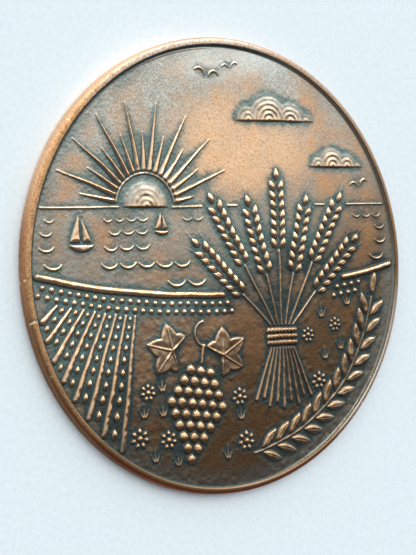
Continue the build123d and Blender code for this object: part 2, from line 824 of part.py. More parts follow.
def make_laurel():
    """The laurel branch inside the rim: its stem, pairs of leaves and berries."""
    orbit = LAUREL_ORBIT * field_radius
    middle = Vector(0, 0, field_z)
    solids = [bent_wire(middle, orbit, LAUREL_START_DEG, LAUREL_END_DEG, LAUREL_STEM_WIRE)]
    leaf = pointed_leaf(LAUREL_LEAF_LENGTH, LAUREL_LEAF_WIDTH, LAUREL_LEAF_HEIGHT, LAUREL_LEAF_CROWN)
    step_deg = degrees(LAUREL_PITCH / orbit)
    pairs = int((LAUREL_END_DEG - LAUREL_START_DEG) / step_deg)
    beside = LAUREL_STEM_WIRE + RELIEF_SINK
    for index in range(pairs):
        angle_deg = LAUREL_START_DEG + (index + 0.5) * step_deg
        inner = middle + heading(angle_deg) * (orbit - beside)
        outer = middle + heading(angle_deg) * (orbit + beside)
        solids.append(seat(leaf, inner, angle_deg + 90 + LAUREL_LEAF_ANGLE_DEG))
        solids.append(seat(leaf, outer, angle_deg + 90 - LAUREL_LEAF_ANGLE_DEG))
        if index % LAUREL_BERRY_STEP == 1:
            out = heading(angle_deg - step_deg / 4)
            berry = middle + out * (orbit - beside - 2 * LAUREL_BERRY_RADIUS)
            solids.append(Location(berry) * Sphere(LAUREL_BERRY_RADIUS))
    end = middle + heading(LAUREL_END_DEG) * orbit + heading(LAUREL_END_DEG + 90) * beside
    solids.append(seat(leaf, end, LAUREL_END_DEG + 90))
    return solids


def make_relief():
    """All that is raised on the obverse field."""
    relief = make_sun() + make_horizon() + make_shore() + make_pebbles() + make_waves()
    for boat in BOATS:
        relief += make_boat(boat)
    for cloud in CLOUDS:
        relief.append(make_cloud(cloud))
    for gull in GULLS:
        relief += make_gull(gull)
    for daisy in DAISIES:
        relief += make_daisy(daisy)
    relief += make_sheaf() + make_grapes() + make_furrows() + make_crop() + make_tufts()
    return relief + make_laurel()


def make_medal():
    """The medal: the body and its relief, struck as one solid."""
    return make_body().fuse(*make_relief())


os.makedirs("parts", exist_ok=True)
medal = make_medal()
export_step(medal, "parts/medal.step")
print("volume_mm3", round(medal.volume, 1), "solids", len(medal.solids()), "valid", medal.is_valid)
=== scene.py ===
from math import asin, atan2, ceil, cos, degrees, hypot, pi, radians, sin, sqrt
from typing import NamedTuple

import bpy
import numpy as np
from bpy.props import FloatProperty, FloatVectorProperty, IntProperty, PointerProperty
from mathutils import Matrix, Vector


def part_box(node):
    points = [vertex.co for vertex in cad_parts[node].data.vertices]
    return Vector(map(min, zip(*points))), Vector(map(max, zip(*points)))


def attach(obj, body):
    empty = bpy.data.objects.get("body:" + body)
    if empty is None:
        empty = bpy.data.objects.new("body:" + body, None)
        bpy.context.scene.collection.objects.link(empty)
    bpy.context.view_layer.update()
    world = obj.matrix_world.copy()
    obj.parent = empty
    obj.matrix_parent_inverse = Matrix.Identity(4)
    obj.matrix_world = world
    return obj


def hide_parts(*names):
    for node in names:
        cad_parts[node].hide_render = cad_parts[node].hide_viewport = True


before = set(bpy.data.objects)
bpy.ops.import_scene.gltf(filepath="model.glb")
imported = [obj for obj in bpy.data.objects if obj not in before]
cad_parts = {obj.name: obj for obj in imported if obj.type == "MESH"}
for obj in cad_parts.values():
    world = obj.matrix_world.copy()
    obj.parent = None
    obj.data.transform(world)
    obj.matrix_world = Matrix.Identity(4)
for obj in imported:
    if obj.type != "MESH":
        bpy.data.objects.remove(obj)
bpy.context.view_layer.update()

# The finish of a struck copper medal that lies on white paper. The copper is
# one piece: a turned body with its rim and reverse, and the obverse, whose
# picture is worked out as one sheet of heights and meshed in tiles.
# Metres, in the frame of the solid model. Angles in degrees run from +X to +Y.

bl_info = {
    "name": "Copper table medal",
    "version": (1, 0, 0),
    "blender": (4, 5, 0),
    "location": "View3D > Sidebar > Medal",
    "description": "A struck copper medal with a harvest by the sea in low relief",
    "category": "Object",
}

MM = 0.001
NODE = "medal"
NODE_LOW, NODE_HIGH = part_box(NODE)


def length(name, description, default):
    """A size in metres, with its default given in metres."""
    return FloatProperty(
        name=name, description=description, default=default, min=0.0, precision=5, unit="LENGTH"
    )


def share(name, description, default, top=1.0):
    """A plain number from 0 up to a top."""
    return FloatProperty(name=name, description=description, default=default, min=0.0, max=top)


def offset(name, description, default):
    """A distance in metres along an axis, which may be below 0."""
    return FloatProperty(name=name, description=description, default=default, unit="LENGTH")


def turn(name, description, degrees_default):
    """An angle, with its default given in degrees."""
    return FloatProperty(
        name=name, description=description, default=radians(degrees_default), subtype="ANGLE"
    )


def colour(name, description, default):
    """A colour in linear light."""
    return FloatVectorProperty(
        name=name, description=description, default=default, subtype="COLOR", min=0.0, max=1.0
    )


class BodySizes(bpy.types.PropertyGroup):
    """The turned body: rim, edge and both fields."""
    diameter: length("Diameter", "Across the edge", NODE_HIGH[0] - NODE_LOW[0])
    thickness: length("Thickness", "Reverse rim to obverse rim", NODE_HIGH[2] - NODE_LOW[2])
    field_depth: length("Field depth", "Obverse field below the crest of the rim", 0.5 * MM)
    reverse_depth: length("Reverse depth", "Reverse field above the reverse rim", 0.15 * MM)
    crest_width: length("Crest width", "Edge to the inner line of the crest", 0.75 * MM)
    slope_run: length("Slope run", "Inner line of the crest to the foot of the rim", 0.15 * MM)
    reverse_rim: length("Reverse rim", "Width of the rim on the reverse", 1.3 * MM)
    outer_round: length("Outer round", "Rounding of the obverse edge", 0.5 * MM)
    inner_round: length("Inner round", "Rounding of the crest's inner line", 0.15 * MM)
    reverse_round: length("Reverse round", "Rounding of the reverse edge", 0.35 * MM)
    foot_fillet: length("Foot fillet", "Hollow where the field runs up to the rim", 0.15 * MM)
    waviness: length("Waviness", "How far handling has worn the rim out of true", 0.012 * MM)
    off_middle: length("Off the middle", "How far the edge is off the field's middle", 0.13 * MM)
    wide_side: turn("Wide side", "Turn round the medal at which the rim is widest", 150.0)


class SkySizes(bpy.types.PropertyGroup):
    """The sun, its rays, the clouds and the gulls."""
    sun_radius: length("Sun radius", "Radius of the half sun", 3.6 * MM)
    sun_height: length("Sun height", "How far the sun stands up from the field", 0.42 * MM)
    ring_gap: length("Ring gap", "Sun to the middle of its ring", 0.7 * MM)
    ring_wire: length("Ring wire", "Half width of the ring", 0.16 * MM)
    ray_length: length("Ray length", "Length of a long ray", 8.6 * MM)
    ray_short: length("Short ray", "Length of a short ray", 4.8 * MM)
    ray_root: length("Ray root", "Half width of a ray beside the ring", 0.42 * MM)
    ray_tip: length("Ray tip", "Half width of a ray at its tip", 0.1 * MM)
    ray_step: turn("Ray step", "Angle from one ray to the next", 10.0)
    cloud_height: length("Cloud height", "Height of the largest billow", 0.38 * MM)
    arcs: share("Arcs", "Depth of the arcs engraved in the billows, against their height", 0.26)
    gull_span: length("Gull span", "Across the wings of the largest gull", 3.6 * MM)
    gull_wire: length("Gull wire", "Half width of a gull's wing", 0.17 * MM)


class SeaSizes(bpy.types.PropertyGroup):
    """The horizon, the boats, the shore and its pebbles."""
    horizon_wire: length("Horizon", "Half width of the horizon line", 0.14 * MM)
    boat_length: length("Boat length", "Length of the larger boat's hull", 3.6 * MM)
    hull_depth: length("Hull depth", "Depth of the larger boat's hull", 0.9 * MM)
    mast: length("Mast", "Height of the larger boat's mast", 3.8 * MM)
    boat_height: length("Boat height", "How far a boat stands up from the field", 0.3 * MM)
    shore_wire: length("Shore", "Half width of the bank", 0.42 * MM)
    shore_radius: length("Shore radius", "Radius of the shore's wide curve", 130.0 * MM)
    pebble_radius: length("Pebble radius", "Radius of a pebble", 0.4 * MM)
    pebble_height: length("Pebble height", "Height of a pebble", 0.3 * MM)
    pebble_pitch: length("Pebble pitch", "One pebble to the next", 1.25 * MM)


class SheafSizes(bpy.types.PropertyGroup):
    """The sheaf of wheat."""
    tie_width: length("Tie width", "Length of a cord across the waist", 4.4 * MM)
    cord_radius: length("Cord radius", "Radius of a cord of the tie", 0.36 * MM)
    cord_gap: length("Cord gap", "Room between two cords", 0.1 * MM)
    stalk_radius: length("Stalk radius", "Half width of a stalk", 0.17 * MM)
    foot_radius: length("Foot radius", "Half width of a stalk at its foot", 0.3 * MM)
    foot_length: length("Foot length", "Length of the longest foot", 8.0 * MM)
    foot_spread: turn("Foot spread", "Angle between the outermost feet", 46.0)
    grain_length: length("Grain length", "Length of a grain", 1.75 * MM)
    grain_width: length("Grain width", "Width of a grain", 0.86 * MM)
    grain_pitch: length("Grain pitch", "One pair of grains to the next", 1.3 * MM)
    grain_angle: turn("Grain angle", "Lean of a grain from its ear", 27.0)
    awn_length: length("Awn length", "Length of the bristle on a grain", 1.5 * MM)
    awn_radius: length("Awn radius", "Half width of the bristle", 0.09 * MM)


class VineSizes(bpy.types.PropertyGroup):
    """The grapes, their leaves and the tendril."""
    grape_radius: length("Grape radius", "Radius of a grape", 0.76 * MM)
    grape_height: length("Grape height", "Height of a grape", 0.45 * MM)
    grape_pitch: length("Grape pitch", "One grape to the next", 1.6 * MM)
    stalk_length: length("Bunch stalk", "Length of the bunch's stalk", 2.3 * MM)
    leaf_radius: length("Leaf radius", "Stalk of a vine leaf to its tip", 4.0 * MM)
    leaf_height: length("Leaf height", "Height of a vine leaf's blade", 0.24 * MM)
    vein_radius: length("Vein", "Half width of a vein", 0.15 * MM)
    tendril_radius: length("Tendril", "Radius of the tendril's curl", 1.6 * MM)
    tendril_wire: length("Tendril wire", "Half width of the tendril", 0.16 * MM)


class LandSizes(bpy.types.PropertyGroup):
    """The furrows, the crop between them, the daisies and the tufts of grass."""
    furrow_top: length("Furrow top", "Half width of a furrow at the bank", 0.2 * MM)
    furrow_end: length("Furrow end", "Half width of a furrow at the rim", 0.42 * MM)
    furrow_step: turn("Furrow step", "Angle from one furrow to the next", 5.6)
    crop_length: share("Crop length", "Length of a plant against the room between furrows", 0.8)
    crop_width: share("Crop width", "Width of a plant against that room", 0.46)
    crop_pitch: share("Crop pitch", "One plant to the next against that room", 1.15, top=5.0)
    crop_least: length("Least room", "The narrowest room in which a plant grows", 0.75 * MM)
    daisy_radius: length("Daisy", "Radius of a full daisy", 1.45 * MM)
    petal_width: length("Petal", "Width of a daisy's petal", 0.62 * MM)
    eye_radius: length("Daisy's eye", "Radius of a daisy's eye", 0.46 * MM)
    eye_height: length("Eye height", "Height of a daisy's eye", 0.4 * MM)
    blade_length: length("Blade length", "Length of a tuft's middle blade", 1.7 * MM)
    blade_radius: length("Blade radius", "Half width of a blade", 0.19 * MM)
    blade_spread: turn("Blade spread", "Angle from one blade to the next", 30.0)


class LaurelSizes(bpy.types.PropertyGroup):
    """The laurel branch inside the rim."""
    leaf_length: length("Leaf length", "Length of a laurel leaf", 3.5 * MM)
    leaf_width: length("Leaf width", "Width of a laurel leaf", 1.3 * MM)
    leaf_height: length("Leaf height", "Height of a laurel leaf", 0.34 * MM)
    leaf_angle: turn("Leaf angle", "Lean of a leaf from the stem", 32.0)
    pitch: length("Pitch", "One pair of leaves to the next", 2.45 * MM)
    stem_wire: length("Stem", "Half width of the stem", 0.17 * MM)
    berry_radius: length("Berry", "Radius of a berry", 0.34 * MM)


class ReliefSizes(bpy.types.PropertyGroup):
    """How the picture is sampled and softened."""
    sample: length("Sample", "From one sample of the height to the next", 0.05 * MM)
    softness: length("Softness", "How softly the dies have struck each edge", 0.045 * MM)
    cells: IntProperty(name="Cells", description="Mesh cells across the obverse", default=636, min=12)
    swell: length("Swell", "Height of the low swells of the ground", 0.035 * MM)
    tooling: length("Tooling", "Height of the tool marks beside the relief", 0.009 * MM)
    waver: length("Waver", "How far a line strays from its course", 0.05 * MM)
    ledge_in: length("Ledge", "Foot of the rim to the low ledge inside it at the top", 0.27 * MM)
    ledge_height: length("Ledge height", "How far that ledge stands up", 0.06 * MM)
    dents: share("Dents", "How much the height of a form varies, against its height", 0.06)
    halo: length("Halo", "How far the dark patina reaches from the relief", 0.55 * MM)
    bloom: length("Bloom", "How far the pale patina reaches from the relief", 1.3 * MM)


class Finish(bpy.types.PropertyGroup):
    """The colours and the grain of the copper, some of them laid on as painted shade, sheen,
    highlights and reflection.
    """
    copper: colour("Copper", "Where the copper is rubbed bright", (0.86, 0.52, 0.29))
    satin: colour("Satin", "The plain field", (0.58, 0.28, 0.12))
    brown: colour("Brown", "Darker blotches of the field", (0.33, 0.17, 0.085))
    # The patina's colour also paints shade: in the creases and at the foot of the rim
    patina: colour("Patina", "Blue green dark in the hollows", (0.022, 0.036, 0.034))
    verdigris: colour("Verdigris", "Paler blue green in the upper hollows", (0.085, 0.14, 0.13))
    bloom: colour("Bloom", "Paler patina further out", (0.155, 0.21, 0.2))
    # A dark red brown that makes the lower part darker; also the dark specks on the crest
    tarnish: colour("Tarnish", "Dark red brown of the lower part", (0.1, 0.056, 0.024))
    veil: colour("Veil", "Grey tarnish in the upper field", (0.33, 0.33, 0.29))
    haze: colour("Haze", "Grey tarnish near the rim in the lower part", (0.135, 0.145, 0.125))
    frost: colour("Frost", "Pale specks in the upper field", (0.66, 0.66, 0.62))
    blush: colour("Blush", "Pale pink tarnish on the top of the rim", (0.6, 0.53, 0.47))
    # Bright copper for painted light: the sheen in the middle of the sky and the light on the rim's
    # outer edge at the upper left
    glow: colour("Glow", "Bright copper in the middle of the sky", (0.95, 0.60, 0.36))
    # Also the colour of painted highlights on the rim: a pale line low on its inner slope and a gleam
    # on its crest at the lower right
    bare: colour("Bare", "Fresh metal where the rim is nicked", (0.92, 0.84, 0.72))
    crest: colour("Crest", "Matt brown of the rim", (0.56, 0.31, 0.145))
    dull: colour("Dull", "Grey brown of the crest at the top right", (0.3, 0.24, 0.18))
    edge: colour("Edge", "Red brown of the outer edge", (0.40, 0.14, 0.065))
    # A painted red reflection on the edge at the bottom
    edge_red_reflection: colour("Rust", "Dark red of the edge at the bottom", (0.3, 0.045, 0.012))
    olive: colour("Olive", "Brown of the crest of the rim at the bottom", (0.2, 0.105, 0.048))
    grain: length("Grain", "Size of the finest grain", 0.16 * MM)
    blotch: length("Blotch", "Size of a blotch of tarnish", 1.6 * MM)


class Stage(bpy.types.PropertyGroup):
    """The paper, the light and the camera."""
    paper: colour("Paper", "The white paper under the medal", (0.85, 0.91, 0.94))
    paper_size: length("Paper size", "Side of the sheet of paper", 1.2)
    key_power: share("Key", "Power of the wide light at the top right, in watts", 7.0, top=1000.0)
    fill_power: share("Fill", "Power of the soft light over the paper, in watts", 5.0, top=1000.0)
    glint_power: share("Glint", "Power of each small lamp at the top, in watts", 9.0, top=1000.0)
    sky_power: share("Sky", "Strength of the light from the bright side", 1.55, top=10.0)
    room_power: share("Room", "Strength of the light from the dark side", 0.14, top=10.0)
    sky_tint: colour("Sky tint", "Colour of the light from the bright side", (0.88, 0.97, 1.0))
    room_tint: colour("Room tint", "Colour of the light from the dark side", (0.92, 0.90, 1.0))
    camera_distance: length("Camera distance", "From the medal's middle", 0.2)
    camera_height: turn("Camera height", "Angle above the paper", 55.04)
    camera_roll: turn("Camera roll", "How far the picture is turned", -2.27)
    aim_x: offset("Aim X", "How far right of the middle the camera looks", -2.13 * MM)
    aim_y: offset("Aim Y", "How far above the middle the camera looks", -1.49 * MM)
    lens: FloatProperty(name="Lens", description="Focal length in millimetres", default=97.96)


# Places in the picture, as shares of the field's radius: x to the right, y up
HORIZON_Y = 0.27
SUN_X = -0.42
SHORE_Y = -0.13
TIE = (0.30, -0.34)
BUNCH = (-0.16, -0.47)
LAUREL_ORBIT = 0.87
LAUREL_START, LAUREL_END = -82.0, -12.0
FURROW_START, FURROW_END = 222.0, 262.0


class Ear(NamedTuple):
    """An ear of wheat: its lean from upright, and its foot's distance from the tie."""
    lean: float
    reach: float


EARS = [
    Ear(lean=-46.0, reach=0.30),
    Ear(lean=-30.0, reach=0.40),
    Ear(lean=-15.0, reach=0.31),
    Ear(lean=0.0, reach=0.41),
    Ear(lean=15.0, reach=0.31),
    Ear(lean=30.0, reach=0.40),
    Ear(lean=46.0, reach=0.30),
]
WIDEST_LEAN = 46.0
GRAIN_PAIRS = 7
BRISTLE_ROOT = 0.3


class Motif(NamedTuple):
    """Where a motif stands in the picture, its size against a full one, and how it is turned."""
    x: float
    y: float
    size: float = 1.0
    turn: float = 0.0


# A cloud's size is its half length, as a share of the field's radius
CLOUDS = [Motif(x=0.30, y=0.66, size=0.24), Motif(x=0.66, y=0.45, size=0.17)]


class Billow(NamedTuple):
    """One billow of a cloud: its middle and its radius against the cloud's half length."""
    at: float
    radius: float


BILLOWS = [
    Billow(at=-0.62, radius=0.34),
    Billow(at=-0.12, radius=0.56),
    Billow(at=0.40, radius=0.42),
    Billow(at=0.78, radius=0.22),
]
LARGEST_BILLOW = 0.56
ARC_PITCH = 0.68 * MM


GULLS = [
    Motif(x=-0.07, y=0.86, turn=-8.0),
    Motif(x=0.06, y=0.90, turn=10.0, size=0.7),
    Motif(x=0.80, y=0.36, turn=12.0, size=0.85),
]
GULL_LIFT, GULL_ARCH, GULL_TAPER = 0.25, 0.3, 0.3

# The middles of the boats' decks
BOATS = [Motif(x=-0.75, y=0.11), Motif(x=-0.34, y=0.165, size=0.62)]


class Sail(NamedTuple):
    """A sail: its side of the mast, its foot against half the hull, its head against the mast."""
    side: int
    foot: float
    head: float


SAILS = [Sail(side=-1, foot=0.95, head=1.0), Sail(side=1, foot=0.8, head=0.85)]
SAIL_BELLY = 0.65
SAIL_SOFT, HULL_SOFT = 0.3, 0.2
HULL_SOFT_LEAST = 0.1 * MM


class WaveRow(NamedTuple):
    """A row of wave crests: its height in the picture, a crest's length, its half width."""
    y: float
    length: float
    wire: float


WAVES = [
    WaveRow(y=0.220, length=0.058, wire=0.0044),
    WaveRow(y=0.165, length=0.068, wire=0.0052),
    WaveRow(y=0.100, length=0.080, wire=0.0060),
    WaveRow(y=0.025, length=0.094, wire=0.0070),
    WaveRow(y=-0.060, length=0.108, wire=0.0080),
]
WAVE_SAG, WAVE_BREAK, WAVE_TAPER = 0.24, 0.16, 0.45

GRAPE_ROWS = [3, 4, 5, 6, 5, 4, 3, 2, 1]
GRAPE_ROW_STEP = 0.9
BUNCH_LEAN = -10.0
BUNCH_STALK_FOOT, BUNCH_STALK_HEAD = 0.17 * MM, 0.3 * MM
TENDRIL_START, TENDRIL_END = 100.0, 255.0


class Lobe(NamedTuple):
    """A lobe of a vine leaf: its direction, and its length against the leaf's radius."""
    turn: float
    length: float


VINE_LOBES = [
    Lobe(turn=-125.0, length=0.72),
    Lobe(turn=-62.0, length=0.92),
    Lobe(turn=0.0, length=1.0),
    Lobe(turn=62.0, length=0.92),
    Lobe(turn=125.0, length=0.72),
]
VINE_NOTCH, VINE_HEEL, VINE_BOW = 0.58, 0.1, 0.16
VINE_DIP, VINE_PUFF, VINE_PUFF_REACH = 0.8, 0.25, 0.25
VINE_SOFT = 0.35 * MM
VEIN_REACH, VEIN_BASE = 0.86, 0.85

# Where a vine leaf's stalk joins it, and the direction of its tip
VINE_LEAVES = [Motif(x=-0.31, y=-0.37, turn=165.0), Motif(x=-0.035, y=-0.40, turn=30.0)]

DAISIES = [
    Motif(x=0.045, y=-0.60, size=0.9),
    Motif(x=0.075, y=-0.80),
    Motif(x=0.51, y=-0.56, size=0.9),
    Motif(x=0.455, y=-0.34, size=0.8),
    Motif(x=0.62, y=-0.30, size=0.75),
    Motif(x=-0.445, y=-0.54, size=0.85),
    Motif(x=-0.495, y=-0.74),
    Motif(x=-0.345, y=-0.76, size=0.95),
]
DAISY_PETALS = 7

# Tufts of grass: where each one grows, how far from its root a blade starts, against its half
# width, and the length of a side blade against the middle one
TUFTS = [
    (0.05, -0.71), (-0.03, -0.88), (0.55, -0.47), (0.65, -0.43), (0.70, -0.22), (0.54, -0.27),
    (-0.47, -0.66), (-0.37, -0.66), (-0.42, -0.86), (-0.30, -0.89), (-0.37, -0.55),
]
BLADE_ROOT, SIDE_BLADE = 2.2, 0.75

PEBBLE_ROWS = 2
PEBBLE_ROW_STEP = 0.87
PEBBLE_SPREAD = 0.14

TIE_CORDS = 3
WAIST_SHARE = 0.84
STALK_FEET = 9
FOOT_STAGGER = 0.1
TWIST_SLANT, TWIST_PITCH = 0.7, 1.6
TWIST_FLOOR, TWIST_ROUND = 0.55, 0.7

# A laurel leaf's crown and midrib, how far across the stem it reaches, against its length, the
# room between the stem and the leaves, and the pairs of leaves from one berry to the next
CROWN_ROUND, CROWN_SHARE = 1.2, 0.3
LEAF_ACROSS = 0.6
RIB_DEPTH = 0.2
RIB_WIDTH = 0.06 * MM
LEAF_GAP = 0.1 * MM
BERRY_EVERY = 3

# How the furrows' crowns are broken: height against the furrow's own, size, lowest and highest
CLOD_HEIGHT = 0.07
CLOD_SIZE = 0.22 * MM
CLOD_RANGE = (0.5, 1.2)

# A ray's section, and the crease along a grain: its depth and its width against the half grain
RAY_KEEL = 1.3
CREASE_DEPTH, CREASE_WIDTH = 0.16, 0.2
THINNEST = 0.001

# Room round the motifs and over them
RELIEF_UNDER_CREST = 0.02 * MM
RELIEF_MARGIN = 0.4 * MM
RELIEF_GAP = 0.35 * MM
SCAN_STEP = 0.1 * MM
SHORTEST_LINE = 1.5 * MM


def heading(angle):
    """The unit vector that points along an angle."""
    return np.array([cos(radians(angle)), sin(radians(angle))])


def angle_of(vector):
    """The angle of a vector."""
    return degrees(atan2(vector[1], vector[0]))


def smooth_step(values, low, high):
    """0 under a low value and 1 over a high one, with a smooth cubic between them."""
    t = np.clip((values - low) / (high - low), 0, 1)
    return t * t * (3 - 2 * t)


def rounded(off):
    """The height of a round ridge: the root of 1 minus the square of how far off its line it is."""
    return np.sqrt(np.clip(1 - off * off, 0, 1))


def pillow(inside, soft):
    """The height of a flat form with soft sides: it rises over a width and then stays level."""
    t = np.clip(inside / soft, 0, 1)
    return np.sqrt(t * (2 - t))


def blur(values, rows, columns=None):
    """A smooth copy: the frequencies are weighed by a Gaussian of a width in rows and in columns."""
    columns = rows if columns is None else columns
    fy = np.fft.fftfreq(values.shape[0])[:, None]
    fx = np.fft.rfftfreq(values.shape[1])[None, :]
    weight = np.exp(-2 * pi**2 * ((fy * rows) ** 2 + (fx * columns) ** 2))
    return np.fft.irfft2(np.fft.rfft2(values) * weight, s=values.shape)


def grain(shape, seed, rows, columns=None):
    """Random swells of one size, with a spread of 1: seeded noise, made smooth."""
    values = blur(np.random.default_rng(seed).standard_normal(shape), rows, columns)
    return values / values.std()


class Relief:
    """The heights of the picture over its plain field, on a square grid of samples."""

    def __init__(self, body, step):
        self.medal_radius = body.diameter / 2
        self.crest_radius = self.medal_radius - body.crest_width
        self.field_radius = self.crest_radius - body.slope_run
        self.inner_radius = self.field_radius - RELIEF_MARGIN
        self.step = step
        half = ceil(self.crest_radius / step)
        self.line = np.arange(-half, half + 1) * step
        self.height = np.zeros((2 * half + 1, 2 * half + 1))

    def spot(self, x, y):
        """A place in the picture, given in shares of the field's radius."""
        return np.array([x, y]) * self.field_radius

    def window(self, place, reach):
        """The samples within a reach of a place, and how far right of it and above it they lie."""
        parts = []
        for at in (place[1], place[0]):
            first = int((at - reach - self.line[0]) / self.step)
            last = int((at + reach - self.line[0]) / self.step) + 2
            parts.append(slice(max(first, 0), max(last, 0)))
        x = self.line[parts[1]][None, :] - place[0]
        y = self.line[parts[0]][:, None] - place[1]
        return tuple(parts), x, y

    def raise_to(self, part, height):
        """Keeps the higher of what stands there and a new height."""
        self.height[part] = np.maximum(self.height[part], height)

    def ridge(self, start, end, start_radius, end_radius, shape=rounded, base=0.0):
        """A ridge whose half width runs evenly from one end to the other, as high over its base
        as it is half wide. Each sample is measured from the nearest point of the line."""
        run = end - start
        length_squared = run @ run
        reach = sqrt(length_squared) / 2 + max(start_radius, end_radius)
        part, x, y = self.window((start + end) / 2, reach)
        along = np.clip(0.5 + (x * run[0] + y * run[1]) / length_squared, 0, 1)
        off = np.hypot(x - (along - 0.5) * run[0], y - (along - 0.5) * run[1])
        radius = start_radius + (end_radius - start_radius) * along
        self.raise_to(part, np.where(off < radius, base + radius * shape(off / radius), 0))

    def bent_ridge(self, centre, radius, start, end, wire, taper=0.0):
        """A ridge along an arc. Each sample is measured from the arc's point at its own angle, and
        the ridge thins towards its ends by a taper."""
        part, x, y = self.window(centre, radius + wire)
        middle, half = radians((start + end) / 2), radians((end - start) / 2)
        turned = np.arctan2(y, x) - middle
        turned = np.clip((turned + pi) % (2 * pi) - pi, -half, half)
        off = np.hypot(x - radius * np.cos(turned + middle), y - radius * np.sin(turned + middle))
        width = wire * (1 - taper * (turned / half) ** 2)
        self.raise_to(part, width * rounded(off / width))

    def hanging_ridge(self, start, end, sag, wire, taper=0.0):
        """A ridge between two places that hangs below their line by a sag."""
        run = end - start
        span = hypot(*run)
        radius = (span**2 / 4 + sag**2) / (2 * sag)
        half = degrees(atan2(span / 2, radius - sag))
        centre = (start + end) / 2 + heading(angle_of(run) + 90) * (radius - sag)
        middle = angle_of(run) - 90
        self.bent_ridge(centre, radius, middle - half, middle + half, wire, taper)

    def dome(self, place, radius, height, flat_foot=False, arcs=0.0):
        """A round cap, or only the half of it above its middle if it has a flat foot. Arcs cut
        it by a share of its height: a squared cosine of the distance from its middle."""
        part, x, y = self.window(place, radius)
        ball = (radius**2 + height**2) / (2 * height)
        cap = np.sqrt(np.clip(ball**2 - x * x - y * y, 0, None)) - (ball - height)
        cap *= 1 - arcs * np.cos(pi * np.hypot(x, y) / ARC_PITCH) ** 2
        self.raise_to(part, np.where(y < 0, 0, cap) if flat_foot else cap)

    def lens(self, place, angle, span, width):
        """A form whose half width is a parabola along it: how far along it each sample lies, from
        -1 to 1, the half width there, and how far off the middle line it lies against that."""
        part, x, y = self.window(place, span / 2)
        c, s = heading(angle)
        along = 2 * (x * c + y * s) / span
        half = width / 2 * np.clip(1 - along**2, THINNEST, 1)
        return part, along, half, (y * c - x * s) / half

    def grain(self, place, angle, span, width):
        """A grain: a lens with a round section, and a crease along it."""
        part, along, half, off = self.lens(place, angle, span, width)
        crease = 1 - CREASE_DEPTH * np.exp(-((off / CREASE_WIDTH) ** 2))
        self.raise_to(part, np.where(np.abs(along) < 1, half * rounded(off) * crease, 0))


def reach_to_rim(relief, start, angle):
    """How far a line from a place runs before it comes to the relief's margin."""
    across = start @ heading(angle)
    return sqrt(across**2 + relief.inner_radius**2 - start @ start) - across


def clear_of_sheaf(relief, sheaf, x, y):
    """How far places are outside the room that the ears and their stalks take."""
    room = np.inf
    tie = relief.spot(*TIE)
    ear = GRAIN_PAIRS * sheaf.grain_pitch + sheaf.grain_length
    for each in EARS:
        along = heading(90 - each.lean)
        run = (x - tie[0]) * along[0] + (y - tie[1]) * along[1]
        run = np.clip(run, 0, each.reach * relief.field_radius + ear)
        off = np.hypot(x - tie[0] - along[0] * run, y - tie[1] - along[1] * run)
        room = np.minimum(room, off - sheaf.grain_length)
    return room


def keeled(off):
    """The height of a ray: it falls from a keel to both sides, a little hollow at the foot."""
    return np.clip(1 - np.abs(off) ** RAY_KEEL, 0, 1)


def raise_sun(relief, sky, sheaf, horizon_wire):
    """The half sun on the horizon, its ring, and its long and short rays."""
    middle = relief.spot(SUN_X, HORIZON_Y)
    relief.dome(middle, sky.sun_radius, sky.sun_height, flat_foot=True, arcs=sky.arcs / 2)
    ring = sky.sun_radius + sky.ring_gap
    clear = degrees((horizon_wire + sky.ring_wire + RELIEF_GAP) / ring)
    relief.bent_ridge(middle, ring, clear, 180 - clear, sky.ring_wire)
    first = ring + sky.ring_wire + RELIEF_GAP
    count = round(pi / sky.ray_step)
    for index in range(1, count):
        angle = index * 180 / count
        along = heading(angle)
        wanted = sky.ray_short if index % 2 else sky.ray_length
        reach = min(wanted, reach_to_rim(relief, middle, angle) - first)
        while clear_of_sheaf(relief, sheaf, *(middle + along * (first + reach))) < RELIEF_GAP:
            reach -= RELIEF_GAP
        root = middle + along * first
        relief.ridge(root, root + along * reach, sky.ray_root, sky.ray_tip, keeled)


def raise_clouds(relief, sky):
    """Clouds: billows of unlike sizes side by side on one flat foot."""
    for cloud in CLOUDS:
        half = cloud.size * relief.field_radius
        for billow in BILLOWS:
            place = relief.spot(cloud.x, cloud.y) + np.array([billow.at * half, 0])
            height = sky.cloud_height * billow.radius / LARGEST_BILLOW
            relief.dome(place, billow.radius * half, height, flat_foot=True, arcs=sky.arcs)


def raise_gulls(relief, sky):
    """Gulls in flight: two bent wings that spread from each body."""
    for gull in GULLS:
        half = gull.size * sky.gull_span / 2
        wire = gull.size * sky.gull_wire
        body = relief.spot(gull.x, gull.y)
        along = heading(gull.turn)
        lift = heading(gull.turn + 90) * (GULL_LIFT * half)
        for start, end in ((-2 * wire, -half), (half, 2 * wire)):
            tips = [body + along * run + lift * (abs(run) == half) for run in (start, end)]
            relief.hanging_ridge(*tips, GULL_ARCH * half, wire, GULL_TAPER)


def free_spans(relief, height_at, is_free):
    """The stretches of a line across the field where each place on it is free."""
    count = round(2 * relief.field_radius / SCAN_STEP)
    x = np.arange(count + 1) * SCAN_STEP - relief.field_radius
    free = np.concatenate([[0], is_free(x, height_at(x)).astype(int), [0]])
    turns = np.flatnonzero(np.diff(free))
    spans = [(x[first], x[last - 1]) for first, last in zip(turns[::2], turns[1::2])]
    return [span for span in spans if span[1] - span[0] > SHORTEST_LINE]


